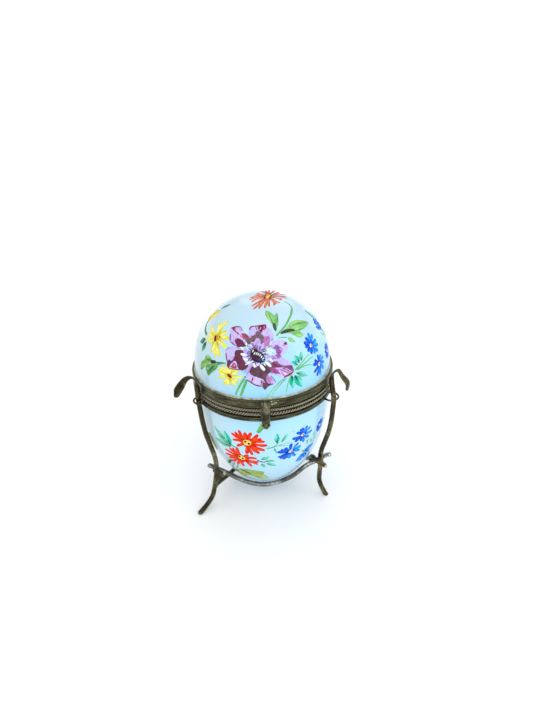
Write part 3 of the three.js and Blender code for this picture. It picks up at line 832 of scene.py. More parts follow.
def anemone_edges(s):
    """Lines along the petals' edges, highlights, and a fringe of fine hairs round the eye."""
    edges = [
        ([(-14.8, 14.4), (-12, 15), (-8.7, 14.7)], 0.9, CRIMSON),
        ([(-8.8, 14.9), (-8, 13.2), (-7.2, 11.8)], 0.45, MAGENTA),
        ([(-14.2, 11.3), (-14, 8.7), (-13.8, 6.8)], 0.75, MAGENTA),
        ([(-13.9, 6.8), (-12, 5.6), (-10.2, 4.4)], 0.5, MAGENTA),
        ([(-16, 1.5), (-15.9, -1), (-15.4, -3.5)], 0.8, CRIMSON),
        ([(-16.4, 2), (-15, 3.2), (-14, 3.8)], 0.3, MAGENTA),
        ([(-15.3, -6.5), (-12, -7), (-9, -7), (-6.3, -6.9), (-4.7, -5.6)], 0.55, CRIMSON),
        ([(-3.9, 12.3), (-3.2, 14.1), (-1, 14.6)], 0.8, CRIMSON),
        ([(-2, 14.4), (1, 14.9), (4.4, 15.7)], 0.7, CRIMSON),
        ([(4.4, 15.6), (4.2, 13.6), (3, 11.8)], 0.6, CRIMSON),
        ([(-0.8, 14.6), (-0.4, 12.8), (0.1, 11.6)], 0.55, MAGENTA),
        ([(10.6, -6.9), (14, -8.5), (16.6, -9.8)], 0.55, MAGENTA),
        ([(12, -6.4), (15, -7.9), (17.4, -9.3)], 0.8, CRIMSON),
        ([(11.4, -8), (12.9, -10), (14.3, -11.3)], 0.45, MAGENTA),
        ([(13.2, -11.6), (16.3, -10.6), (19.5, -9)], 1.3, CRIMSON),
        ([(-5.2, -12), (-3.3, -13.4), (-0.7, -15), (2.4, -15.7)], 0.75, CRIMSON),
        ([(-2.2, -10.2), (-2.4, -12), (-3, -13.2)], 0.7, MAGENTA),
        ([(1.7, -11.6), (1.9, -13.4), (1.6, -15)], 0.6, MAGENTA),
        ([(2.6, -12.4), (2.8, -14), (2.5, -15.4)], 0.8, CRIMSON),
        ([(5, -10), (6.6, -12.3), (8.4, -13.9)], 0.7, MAUVE),
        ([(6.3, -9.7), (8.1, -12), (9.4, -14.2)], 0.4, MAGENTA),
        ([(5.4, 6.8), (5.8, 8), (5.3, 9.2)], 0.5, MAUVE),
        ([(11.4, 4.4), (13, 4.6), (15.6, 5.2)], 0.5, MAUVE),
        ([(9, 4.4), (11, 3.4), (12.6, 2)], 0.5, MAGENTA),
        ([(6.4, -1.4), (9, -1.6), (12, -0.8)], 0.6, MAUVE),
    ]
    s.plain_strokes(edges, 0.1, 0.04, 0.3)
    highlights = [
        ([(-12.6, 14.2), (-10.5, 12), (-8.4, 10.4), (-7, 8.6)], 0.55),
        ([(-11, 14.4), (-9.4, 12.8), (-7.4, 11.4)], 0.6), ([(1.7, 14.3), (1.6, 13), (1.2, 12)], 0.5),
        ([(3.6, 14.6), (3.3, 13.2)], 0.4), ([(13, -7), (15, -8.2), (16.4, -9)], 0.5),
        ([(11, -7.6), (13, -9), (15, -10.6)], 0.9), ([(5.6, -11.2), (7, -13), (8.6, -14)], 0.5),
        ([(-1.8, -11), (-1.2, -13.6)], 0.9), ([(-13, 9.8), (-12, 7.4)], 0.8),
        ([(9.8, 6.2), (12, 6.6)], 0.6), ([(13.5, 3.6), (13, 1.2)], 0.8),
    ]
    for line, width in highlights:
        s.stroke(line, width, [PINK, srgb(226, 214, 248)], 0.11, 0.03, 1, 0.4)
    for k in range(90):
        angle = s.random.uniform(-math.pi, math.pi)
        near = s.random.uniform(5.0, 9.5)
        far = near + s.random.uniform(1.2, 2.6)
        a = np.array([math.cos(angle), math.sin(angle)])
        shade = s.random.choice((WINE, MAUVE, srgb(150, 120, 190), GREY_PLUM, BROWN_PLUM))
        s.stroke([a * near, a * far], s.random.uniform(0.16, 0.3), [shade, shade], 0.1, 0.02, 1, 0.4)


def anemone_eye(s):
    """The inner petals, the dark eye with its ring of stamens, and pale dabs of a painted reflection."""
    for tip, width, shade in (
        ((-5.2, 2.4), 1.3, LAVENDER), ((-4.1, 4.3), 1.1, LILAC), ((-2.3, 5.8), 1.1, MAUVE),
        ((-0.7, 4.8), 0.9, LILAC), ((0.1, 7.1), 1.7, srgb(190, 160, 226)), ((1.2, 4), 0.9, MAUVE),
        ((2.3, 5.4), 1.1, LILAC), ((3.3, 5.8), 1.4, srgb(186, 166, 230)),
        ((4.6, 3.6), 1.2, srgb(160, 150, 204)), ((-5.6, 0.4), 1.0, srgb(150, 140, 206)),
        ((-4.6, -2.6), 0.9, srgb(120, 112, 168)),
    ):
        s.stroke([(-0.4, 0.4), tip], width, [PLUM, shade, shade], 0.13, 0.05, 1.3)
    eye = [
        (-3.7, 2.2), (-2, 3), (-0.7, 3.6), (1.3, 2.2), (2.7, 0.7), (3.8, -1.4), (3.4, -3.2), (0.7, -3.7),
        (-2, -2.5), (-3.4, -0.4),
    ]
    s.blot(eye, s.brushed(PLUM, DEEP_PLUM, MIDDLE, 6, 0.4), 0.15, 0.04)
    s.blot([(-1.6, -1.4), (1.4, -1), (3.2, -1.6), (2.9, -3), (0.6, -3.4)],
           s.brushed(srgb(52, 60, 118), NAVY, MIDDLE, 6, 0.5), 0.17, 0.04)
    for k in range(30):
        angle = 2 * math.pi * k / 30 + s.random.uniform(-0.1, 0.1)
        a = np.array([math.cos(angle), math.sin(angle)])
        shade = s.random.choice((DEEP_PLUM, PLUM, NAVY, srgb(112, 104, 170)))
        near, far = s.random.uniform(2.2, 2.8), s.random.uniform(3.9, 5.2)
        s.stroke([a * near, a * far], s.random.uniform(0.25, 0.5), [shade, shade], 0.17, 0.03, 1, 0.5)
    for a, b, width in (
        ((-8.1, 3.8), (-5.7, 2.3), 1.1), ((-5.3, 6.1), (-4.6, 4), 0.8), ((-8.1, 0.6), (-4.2, -0.3), 1.4),
        ((-6.6, -1.6), (-3.9, -2.4), 1.15), ((-5.1, -4), (-2.2, -3), 1.25),
        ((-1.8, -3.3), (-0.9, -6.1), 1.15), ((1.1, -4.2), (3.8, -7.6), 1.75),
        ((3.6, -2.9), (6.9, -5.8), 1.45), ((5.6, -1.3), (7.4, -3.4), 1.0),
        ((-5.8, -4.6), (-4.4, -4.2), 0.6), ((0.2, -4), (0.6, -5.2), 0.6), ((3, -4), (4, -5.2), 0.6),
    ):
        s.stroke([a, b], width, [CREAM_WHITE, srgb(222, 226, 232)], 0.16, 0.07, 1, 0.5)
        s.stroke([np.array(a) + (0.4, -0.35), np.array(b) + (0.4, -0.35)], 0.35, [DEEP_PLUM, PLUM], 0.15,
                 0.03, 1, 0.5)
    for a, b in (
        ((-2.1, 1.1), (-1.5, 2.5)), ((-1.5, 0), (-0.7, 1.5)), ((-0.6, -0.1), (0.3, 1.4)),
        ((0.2, -0.3), (1.1, 1.0)), ((1, -0.8), (1.9, 0.6)), ((1.8, -1.5), (2.4, -0.2)),
        ((2.6, -2.1), (3.1, -1.1)),
    ):
        s.stroke([a, b], 0.6, [CREAM_WHITE, CYAN_WHITE], 0.24, 0.05, 1, 0.5)
    # A pale cyan wash and dabs right of the eye: a painted reflection of a bright window across the
    # flower.
    s.blot([(3.8, 2.6), (5, 3.4), (8.2, 3.2), (9, 1.2), (8, -0.4), (5.4, -0.3), (4, 0.8)],
           s.brushed(CYAN_WHITE, srgb(196, 206, 244), (6, 1), 9, 0.6), 0.14, 0.03)
    for _ in range(60):
        u, v = s.random.uniform(3.6, 9.0), s.random.uniform(-0.9, 3.8)
        s.dots((u, v), 0.3, 1, 0.5, (CYAN_WHITE, CREAM_WHITE, CYAN_WHITE, srgb(140, 120, 190)), 0.18)
    for _ in range(14):
        u, v = s.random.uniform(2.6, 5.2), s.random.uniform(-3.6, -1.4)
        s.dots((u, v), 0.3, 1, 0.4, (CYAN_WHITE, srgb(170, 190, 230)), 0.2)


def anemone(s):
    """The large violet anemone and its two stems."""
    for part in (anemone_petals, anemone_folds, anemone_edges, anemone_eye):
        part(s)
    for shift in (0, 1.9):
        line = [
            (14.2 + shift * 0.6, -12.2), (11 + shift, -14.2), (8 + shift, -17.6), (5.8 + shift, -21),
            (4.4 + shift, -24.4),
        ]
        s.stem(line, 0.95, srgb(112, 168, 136), srgb(160, 226, 190))


def rust_daisy(s):
    """The many-petalled rust-red daisy on the crown, with its stem."""
    tips = [
        (-13.5, 2.5), (-11.4, 4.2), (-7.5, 5.5), (-5.6, 7.4), (-3.5, 8.3), (-1.4, 7.6), (0.5, 7),
        (2.6, 7.2), (4.6, 6.8), (8, 6.5), (10, 4.4), (12.4, 2.8), (14, 0.4), (12.4, -2.6), (10, -8),
        (7.4, -8.4), (4.5, -9.5), (2.2, -7.6), (0, -8), (-3, -8.3), (-5, -7), (-7, -6), (-9, -4.2),
        (-11, -2.5), (-12.4, 0),
    ]
    hub = (1.1, -0.2)
    s.stem([(0.5, -8.3), (-0.5, -11), (-2.5, -14), (-8, -15.8)], 0.8, STEM)
    near_shades, far_shades = (BROWN, srgb(190, 78, 36), ROSE_RUST), (RUST, ROSE_RUST, PALE_RUST)
    for tip in tips:
        s.petal(hub, tip, 1.45, near_shades if tip[0] > 5 else far_shades, 0.1, 0.12)
    s.disc(hub, 5.6, 4.4, s.brushed(srgb(244, 204, 92), srgb(226, 136, 40), hub, 5, 0.5))
    s.dots(hub, 1.9, 16, 0.4, (srgb(250, 226, 140), OCHRE, RUST))
    for mark in ((1.2, 1.3), (-0.2, -1.5), (2.0, -1.4), (-1.0, 0.9)):
        line = [np.array(mark) - (1.2, 0.3), np.array(mark) + (1.2, 0.3)]
        s.stroke(line, 1.1, [BROWN, BROWN], 0.32, 0.06, 1, 0.4)


def top_leaves(s):
    """Three broad green leaves and the long stem that rises from them."""
    s.stem([(9.2, 16), (10.2, 13), (9.9, 9.8), (8, 7), (4.5, 3.5), (0, -0.2), (-4, -2.3), (-6.5, -3.6)],
           1.1, srgb(112, 188, 112), srgb(96, 168, 92))
    leaves = [
        ([(-5.6, -1.6), (-5.9, 1), (-5.7, 3.5), (-6.3, 7), (-6.2, 9.5), (-4.3, 12.3), (-3, 10.5),
          (-2.3, 8.2), (-2.2, 7.3), (0.2, 8.8), (-0.5, 6), (-1.8, 3), (-3.5, 0.5)], (-5, -1.2)),
        ([(-4.3, -3.2), (-1, -1.8), (1.5, 0), (4, 1.2), (8, 1.8), (12, 0.9), (15.8, -0.7), (13.5, -2.3),
          (10, -3.8), (7, -4.6), (8.6, -6.5), (6.5, -7.7), (4, -7), (2.3, -5.5), (0, -4)], (-4, -3)),
        ([(-1, -5.4), (1.5, -6.7), (2.4, -9), (1, -9), (-0.7, -8.2), (-1.3, -6.8)], (-1, -5)),
    ]
    for outline, root in leaves:
        s.blot(outline, s.brushed(SPRING, FRESH, root, 7, 0.5), 0.02, 0.05, 0.7, 3)
    folds = [
        ([(-5.4, -1.4), (-4.9, 1.2), (-4.1, 3.6)], 1.6, srgb(64, 84, 58)),
        ([(-5.2, 1), (-4.6, 6), (-4.2, 10)], 0.35, MOSS),
        ([(-3.4, 2.4), (-1.6, 5), (-0.4, 7.6)], 0.35, MOSS),
        ([(-5.6, 3), (-5.4, 7), (-4.8, 10.4)], 0.7, srgb(170, 222, 120)),
        ([(-3.9, -3), (-1, -2.6), (1.8, -2.8), (4.6, -3.2)], 1.9, srgb(62, 80, 62)),
        ([(1, -1.4), (6, -0.6), (11, -0.6), (15, -0.8)], 0.35, MOSS),
        ([(2, -3.6), (6, -3.6), (10, -3.2)], 0.4, MOSS),
        ([(3, 0.2), (7.5, 0.9), (11.6, 0.3)], 0.9, srgb(168, 220, 116)),
        ([(4, -5.6), (6, -6.4), (7.6, -6.6)], 0.7, srgb(168, 220, 116)),
        ([(6, -2), (10, -2.2), (13.4, -1.8)], 0.9, srgb(128, 196, 100)),
    ]
    s.plain_strokes(folds, 0.07, 0.03, 0.5)
    s.stem([(-6, -4.5), (-3.5, -5), (-1, -5.8)], 0.5, STEM)


YELLOW_SHADES = (srgb(200, 168, 34), srgb(226, 222, 78), srgb(240, 240, 142))


def yellow_daisy(s):
    """A yellow daisy with a half-open one, its stem and small leaves."""
    s.stem([(-13.5, 6.2), (-12.4, 3.8), (-10.4, 1.8), (-6.6, 0.2)], 1.6, srgb(52, 104, 62),
           srgb(84, 130, 66))
    for base, tip in (((-6.3, -1.8), (-12.5, -4.8)), ((-5, -2.5), (-7.4, -8.4))):
        s.leaf(base, tip, 3.6, (DEEP_GREEN, srgb(40, 116, 76), srgb(96, 172, 120)))
    for tip in ((-15.4, 12.6), (-14.2, 14.6), (-12.4, 16.2), (-10.4, 16.4), (-8.6, 15.4), (-9.2, 13.4)):
        s.petal((-13.4, 6), tip, 2.6, (OCHRE, srgb(214, 196, 78), srgb(236, 226, 120)), 0.04)
    s.leaf((-13.6, 5.6), (-12.6, 9.6), 2.2, (DEEP_GREEN, MOSS, FRESH))
    s.stem([(-10.4, 16.8), (-9.6, 19), (-8.6, 21.4)], 1.1, srgb(44, 96, 66))
    s.leaf((-10.2, 18), (-7.4, 24.6), 3.0, (DEEP_GREEN, srgb(60, 124, 84), srgb(110, 170, 130)))
    tips = [
        (-6.8, 5.7), (-2.3, 9.2), (0.4, 9.6), (2.2, 12), (5, 6.8), (8.5, 3.8), (9.2, -0.7), (7.5, -6),
        (4.2, -7.3), (0.6, -6.5), (-2.2, -2.8), (-6.5, -1.2), (-6.2, 2.2),
    ]
    hub = (0.8, 1.3)
    s.daisy(hub, tips, 2.3, YELLOW_SHADES, GOLD, 0.1)
    s.disc(hub, 3.2, 3.2, s.brushed(srgb(222, 158, 36), srgb(176, 110, 28), hub, 5, 0.5), 0.1, 0.08)
    s.stroke([(-0.1, 2.5), (0.5, 1.2), (1.3, -0.6)], 1.2, [BROWN, BROWN], 0.24, 0.05, 1, 0.4)
    s.stroke([(2.2, 3), (3.4, 2.2)], 0.9, [BROWN, OCHRE], 0.24, 0.04, 1, 0.4)


def low_yellow(s):
    """The lower yellow daisy, three overlapping leaves and two cut stems."""
    for line, width in (
        ([(10.4, -0.8), (7.6, -6.2), (5.7, -11)], 1.2), ([(11.6, -1.2), (10, -6.4), (8.5, -11.2)], 1.6),
    ):
        s.stem(line, width, srgb(78, 160, 84), srgb(110, 190, 110))
    s.blot([(-14, 5.2), (-10, 5.3), (-8.7, 4.3), (-6, 3.6), (-3.5, 3.9), (0, 4.2), (-3, 2.6), (-5.5, 2.3),
            (-8, 2.3), (-11, 1.2), (-14, 0.4), (-15.5, 2.8)],
           s.brushed(SPRING, srgb(86, 150, 70), (-6, 3.4), 6, 0.45), 0.02, 0.05, 0.7, 3)
    s.blot([(-8, 2.3), (-3, 3.8), (-2.6, 2.9), (-3.5, 2.5), (-5, 0), (-8, -2.5), (-11, -5.2), (-12.3, -4),
            (-13.8, -1.5), (-12, 0.6)],
           s.brushed(srgb(120, 190, 110), srgb(78, 140, 78), (-5, 2.6), 6, 0.45), 0.03, 0.05, 0.7, 3)
    s.blot([(-13, 3.4), (-15.5, 2.2), (-18.6, 0.5), (-20, -4.5), (-17, -3.6), (-14, -1), (-10.5, 1.2)],
           s.brushed(srgb(140, 190, 96), srgb(96, 150, 66), (-6, 3.4), 6, 0.5), 0.04, 0.04, 0.7, 3)
    folds = [
        ([(-10, 2.4), (-8, 3), (-5.4, 3.6)], 1.9, srgb(58, 54, 52)),
        ([(-14, 3), (-11, 3.2), (-8, 3.2)], 0.4, MOSS),
        ([(-6, 2), (-8.4, 0), (-11, -3.4)], 0.9, srgb(52, 84, 58)),
        ([(0.4, 4.3), (-3, 3.8), (-6, 3.4)], 0.7, MOSS),
        ([(-12.8, 4.4), (-10.6, 4.5)], 0.8, srgb(170, 220, 120)),
        ([(-12.6, -1), (-10.6, -1.4)], 0.8, srgb(160, 212, 130)),
    ]
    s.plain_strokes(folds, 0.08, 0.03, 0.5)
    hub = (2.5, -1.2)
    tips = [
        (-4, -0.3), (-3.5, -4.2), (-0.8, -6.7), (2.6, -6.5), (5.5, -6.3), (7.7, -4), (9.7, -0.8),
        (7, 2.4), (3.5, 3.4), (0, 2.8), (-1.8, 3), (-3.9, 1),
    ]
    s.daisy(hub, tips, 2.1, YELLOW_SHADES, GOLD, 0.1)
    s.disc(hub, 3.0, 2.5, s.brushed(srgb(226, 160, 40), OCHRE, hub, 5, 0.5), 0.1, 0.08)
    s.stroke([(1.3, -0.6), (2.5, -1.2), (3.8, -2)], 1.2, [BROWN, BROWN], 0.24, 0.05, 1, 0.4)


def blue_pair(s):
    """Two cornflowers with a bud, thin stems and rounded teal leaves."""
    for line in (
        [(-9, -3), (-5, -1.2), (-1, 0.8), (1.5, 1.5)], [(-9, -3.3), (-2, -1.5), (4, -0.2)],
        [(-8, -3.4), (-3, -2.8), (2.3, -4.2)], [(-9, -3.2), (-11, -4.4), (-14, -9), (-16, -14)],
    ):
        s.stem(line, 0.75, STEM, srgb(120, 206, 140))
    s.leaves([((-5.3, -0.5), (-7.3, 4.2), 3.0, TEAL_LEAF), ((-4.3, 0), (-2.8, 4.8), 2.6, SAGE_LEAF),
              ((-11, -5), (-11.5, -12.3), 4.2, TEAL_LEAF), ((-9.5, -5.5), (-6, -13.2), 4.4, TEAL_LEAF),
              ((-8.5, -4.5), (-2, -8.2), 3.0, SAGE_LEAF), ((-6.5, -1.2), (-10, 1.8), 2.4, TEAL_LEAF)])
    first = [
        (5.7, 11.5), (8.2, 9.8), (9.5, 6.8), (10.2, 3.8), (8.3, 0.4), (5.2, 0), (2.6, 0.8), (0.6, 2.9),
        (-0.1, 5.5), (0.1, 8), (2.4, 10),
    ]
    cornflower(s, (3.9, 4.8), first, 2.1)
    second = [
        (7, -0.6), (10, -1.4), (12.8, -3.3), (13, -7), (12, -10.3), (8.6, -12), (4.7, -11.8), (2.4, -8.6),
        (2.2, -4.3), (4, -2.2),
    ]
    cornflower(s, (7.4, -5.9), second, 2.1, srgb(222, 74, 30))


def cornflower(s, hub, tips, width, eye=None):
    """A blue flower: darker petals on the left, a pale eye with a red spot."""
    for tip in tips:
        turned_left = tip[0] < hub[0]
        shades = (INK, srgb(6, 76, 214), COBALT) if turned_left else (ROYAL, srgb(4, 120, 240), SKY)
        s.petal(hub, tip, width * s.random.uniform(0.85, 1.1), shades, 0.14, 0.1)
    s.disc(hub, 2.1, 1.9, srgb(240, 236, 200), 0.12, 0.06)
    spot = (hub[0] + 0.25, hub[1] + 0.1)
    shade = eye or srgb(222, 84, 30)
    s.stroke([(spot[0] - 0.55, spot[1]), (spot[0] + 0.55, spot[1])], 1.1, [shade, shade], 0.22, 0.04, 1,
             0.5)


def red_pair(s):
    """Two scarlet daisies with their leaves."""
    s.stem([(10.6, 18.5), (8.6, 15.6), (6.4, 12)], 2.4, srgb(120, 200, 104), srgb(86, 166, 86))
    s.stem([(11.6, 18), (9.6, 15.2), (7.4, 12.4)], 0.8, srgb(60, 130, 60), srgb(70, 140, 70))
    s.stem([(9.5, 1.8), (14, 2), (18, 4.6)], 0.6, STEM)
    s.stem([(-10, -12), (-12, -13.8), (-13, -15)], 0.8, srgb(60, 110, 80))
    s.leaves([((6.5, -7), (11.5, -5), 3.2, SAGE_LEAF), ((9, -10.5), (15.5, -14.5), 2.8, SAGE_LEAF),
              ((6.5, -10.5), (8, -15), 2.8, SAGE_LEAF), ((8, -8.5), (15, -9.5), 2.6, SAGE_LEAF)])
    s.stem([(4, -7), (6, -8.4), (9, -10)], 0.8, srgb(70, 84, 50))
    lower = [
        (-5.8, 0.3), (-8.4, -0.6), (-10.9, -1.8), (-14.5, -4.8), (-15.5, -9.5), (-13.6, -12.2),
        (-11.6, -14.9), (-7.9, -15.8), (-3.7, -15.7), (1, -14.5), (4.8, -11.8), (5.6, -9), (4.8, -6.3),
        (0.5, -3.5),
    ]
    shades = (BLOOD, SCARLET, ORANGE)
    upper = [
        (-7.9, 9.9), (-5.8, 11.4), (-3.5, 13.1), (-0.2, 12.2), (3.4, 12.4), (6.7, 11.4), (8.4, 8.7),
        (10, 6.2), (11.3, 3.6), (9.6, 0.1), (6.6, -2.1), (2.6, -3.8), (-0.6, -3.3), (-5.5, 1.2),
        (-7.7, 5.2),
    ]
    for hub, tips, size, marks in (
        ((-3.8, -7), lower, 4.4, (((-5.2, -5.9), (-4.2, -6.6)), ((-3.6, -6.9), (-2.5, -7.4)))),
        ((0.6, 5.3), upper, 4.8, (((-0.8, 6.4), (0.3, 5.7)), ((0.9, 5.3), (2.0, 4.6)))),
    ):
        s.daisy(hub, tips, 2.2, shades, SCARLET, 0.16)
        s.disc(hub, size, size * 0.86, s.brushed(BUTTER, srgb(240, 190, 70), hub, 5, 0.6), 0.1, 0.1)
        s.dots(hub, size * 0.42, 12, 0.45, (srgb(250, 246, 190), srgb(236, 170, 60)), 0.2)
        for a, b in marks:
            s.stroke([a, b], 1.5, [srgb(40, 16, 12), srgb(30, 12, 10)], 0.27, 0.05, 1, 0.3)


def blue_trio(s):
    """Two cornflowers and a half-open one on the bowl."""
    for line in (
        [(-18, 2.2), (-16, 3), (-13.2, 3.7), (-9, 5), (-3, 5)], [(-11, 4.5), (-5, 3.3), (-3, 2.5)],
        [(5, 2), (10, 0.5), (16, -2)],
    ):
        s.stem(line, 0.5, STEM, srgb(130, 206, 150))
    s.leaves([((-11.8, 6), (-12.2, 13), 3.3, TEAL_LEAF), ((-9.5, 6.5), (-5.8, 12), 2.2, SAGE_LEAF),
              ((-13.2, 3), (-11.3, -1.5), 1.8, SAGE_LEAF), ((6.5, 1.5), (7, -2.8), 1.8, GREEN_LEAF),
              ((9.5, 0.5), (10.5, -4), 1.8, SAGE_LEAF), ((11, 1.6), (12.6, 5.2), 1.6, TEAL_LEAF)])
    upper = [
        (-1.4, 10.4), (0.8, 12), (2.5, 12.4), (6, 12.2), (8.5, 10), (10, 6.8), (7.5, 3.3), (4, 1.5),
        (1.5, 3.3), (-2, 4.3), (-3.7, 7.5),
    ]
    cornflower(s, (2.8, 7.2), upper, 2.2)
    half = [
        (10, -4.3), (12, -5), (13.5, -6.3), (11, -10), (9.5, -13.5), (7.4, -14.6), (5.5, -15),
        (3.6, -14.8), (2, -14),
    ]
    for tip in half:
        s.petal((5, -6.5), tip, 2.0, (ROYAL, COBALT, SKY), 0.15, 0.08)
    s.leaf((4, -5), (7.4, -8.6), 2.2, GREEN_LEAF)
    lower = [
        (-11.5, 0), (-9.4, 1.6), (-7, 2.5), (-3.6, 4.5), (0.7, 3.3), (2.7, 0), (2.5, -3.5), (0.3, -7),
        (-3.3, -7.5), (-7.5, -7), (-9.4, -5.8), (-10.8, -4.3),
    ]
    cornflower(s, (-3.4, -1.6), lower, 2.3)


def bowl_leaves(s):
    """A loose bunch of leaves on the bowl."""
    s.leaves([((0.5, 0.4), (-6.9, 6.4), 3.6, SAGE_LEAF), ((3.2, -2.6), (0.6, 6.8), 4.8, TEAL_LEAF),
              ((3.4, -3), (-8, -2.6), 4.8, SAGE_LEAF), ((-1, 0), (-5.5, 1.8), 1.8, (MOSS, STEM, MINT))])
    s.stem([(-2, 0.4), (3, -1.8), (8, -3.4)], 0.8, srgb(70, 120, 90))


def olive_swash(s):
    """The loose grassy brushwork under the red flowers."""
    s.blot([(-7.5, 3), (-4, 5.2), (0, 5.7), (4, 5.1), (7.1, 3.6), (6, 1), (7.4, -2.5), (8, -7.6), (2, -7),
            (0, -5), (-3, -3.6), (-5, -8), (-7, -12.5), (-12, -11), (-11, -5), (-10, -1)],
           s.brushed(srgb(168, 196, 104), srgb(134, 156, 66), (-4, 12), 16, 0.5), 0.0, 0.05, 0.8)
    s.blot([(4.4, 0), (6.2, -1), (8, -7.6), (4.6, -6.4)],
           s.brushed(srgb(190, 220, 164), srgb(156, 190, 110), (3, 8), 12, 0.5), 0.05, 0.03)
    blades = [
        ([(-7.4, 2.8), (-4, 1.6), (-0.8, -1.2)], 2.2, srgb(78, 90, 36)),
        ([(-10.6, -0.6), (-11, -4), (-13, -9)], 2.4, srgb(80, 84, 44)),
        ([(-7, -1), (-7.4, -5), (-8.6, -10)], 1.6, srgb(132, 146, 62)),
        ([(2.4, 2), (4.4, 1.6), (6.2, 1.6)], 1.0, srgb(124, 158, 72)),
        ([(-12, 9.8), (-14, 6), (-16.4, 1.6)], 2.4, srgb(60, 92, 44)),
        ([(-12.8, 9.4), (-14.8, 6), (-17, 2)], 1.0, srgb(110, 156, 88)),
        ([(-9, 9.6), (-11, 5), (-13, 0.6)], 0.8, srgb(128, 140, 88)),
        ([(-7.4, 8.2), (-8.6, 4), (-10.2, 0.6)], 1.0, srgb(116, 168, 84)),
        ([(1.6, -1), (1.2, -3.6), (2, -6)], 0.9, srgb(128, 152, 62)),
        ([(-3, 3.8), (1, 4.4), (5, 3.9)], 0.9, srgb(140, 186, 96)),
    ]
    s.plain_strokes(blades, 0.06, 0.04, 0.4)


def edge_shade(s):
    """The broad olive-green stroke low on the bowl's left side."""
    s.blot([(-10, 2.6), (-6, 5.4), (-2, 8), (-0.2, 5), (0.6, 1), (0, -3), (-2.6, -6.6), (-5, -9),
            (-8, -4)], s.brushed(srgb(124, 140, 62), srgb(88, 88, 38), (6, 22), 12, 0.5), 0.0, 0.04, 0.9)
    s.stroke([(-0.6, 6.6), (0.2, 2), (-0.4, -3)], 1.6, [srgb(150, 180, 116), srgb(140, 164, 100)], 0.03,
             0.03, 1, 0.4)


def blue_bud(s):
    """A half-open cornflower standing on its stem, with a dark twig above it."""
    s.stem([(2.3, -3), (3.6, -5.6), (3.2, -9)], 1.3, srgb(84, 160, 96), srgb(110, 180, 110))
    s.stem([(1.6, 2.6), (1.6, 6), (1.2, 10)], 1.3, srgb(30, 124, 110), srgb(36, 140, 130))
    s.stem([(2.6, -6), (0.6, -6), (-0.6, -3.4)], 0.8, srgb(96, 176, 110))
    for tip in ((-2.2, 0.6), (-1.3, 2.6), (0.3, 4), (1.6, 4.4), (3, 3), (4, 0.4)):
        s.petal((2.2, -3.6), tip, 1.9, (INK, srgb(20, 80, 200), srgb(70, 140, 240)), 0.05)


def lone_blue(s):
    """A round blue flower without leaves."""
    tips = [(4 * math.cos(0.57 * k), 4.4 * math.sin(0.57 * k)) for k in range(11)]
    cornflower(s, (0, 0), tips, 1.9)


def green_tip(s):
    s.leaf((0, -3), (-1, 4), 2.4, SAGE_LEAF)


CROWN = 40  # above this height the paint lies thinner, to stay inside the solid's height
# Piece, shell, azimuth and height of the motif's centre, and what is painted there.
for name, shell, azimuth, height, draw in (
    ("lid_leaves_top", DOME, 28.57, 36.06, top_leaves),
    ("lid_daisy_rust", DOME, 69.32, 42.83, rust_daisy),
    ("lid_daisy_yellow", DOME, -50.1, 29.39, yellow_daisy),
    ("lid_daisy_low", DOME, -31.21, 17.7, low_yellow), ("lid_anemone", DOME, -4.28, 26.83, anemone),
    ("lid_blues", DOME, 40.8, 21.12, blue_pair), ("lid_blue_right_low", DOME, 72, 17, lone_blue),
    ("lid_blue_right_high", DOME, 73, 30, blue_bud), ("lid_green_tip", DOME, 82, 33, green_tip),
    ("lid_blues_back", DOME, 128, 22, blue_pair), ("lid_daisy_back", DOME, 178, 24, yellow_daisy),
    ("lid_daisy_back_left", DOME, -124, 24, low_yellow), ("bowl_reds", BOWL, -16.36, -25.8, red_pair),
    ("bowl_blues", BOWL, 28.59, -27.64, blue_trio),
    ("bowl_leaves_left", BOWL, -37.01, -22.85, bowl_leaves),
    ("bowl_blue_right", BOWL, 57, -22, lone_blue), ("bowl_swash", BOWL, -15.98, -47.47, olive_swash),
    ("bowl_shade_left", BOWL, -55.23, -32.62, edge_shade), ("bowl_reds_back", BOWL, 168, -26, red_pair),
    ("bowl_blues_back", BOWL, 112, -28, blue_trio), ("bowl_leaves_back", BOWL, -150, -24, bowl_leaves),
    ("bowl_blues_back_left", BOWL, -112, -27, blue_pair),
):
    spray = Spray(name, shell, azimuth, height, 0.5 if height > CROWN else 1)
    draw(spray)
    spray.finish()

# ---- Brass collar ---------------------------------------------------------------------------

SEAM = -0.85
BAND = 36.5
COLLAR_SIDES = 240
CEMENT_SIDES = 420


def arc(centre_r, centre_z, radius, start, end, steps):
    """Points of a round edge in the [radius, z] plane, angles in degrees."""
    return [
        [
            centre_r + radius * math.cos(math.radians(start + (end - start) * i / steps)),
            centre_z + radius * math.sin(math.radians(start + (end - start) * i / steps)),
        ]
        for i in range(steps + 1)
    ]


COLLAR_EDGE = 5.92


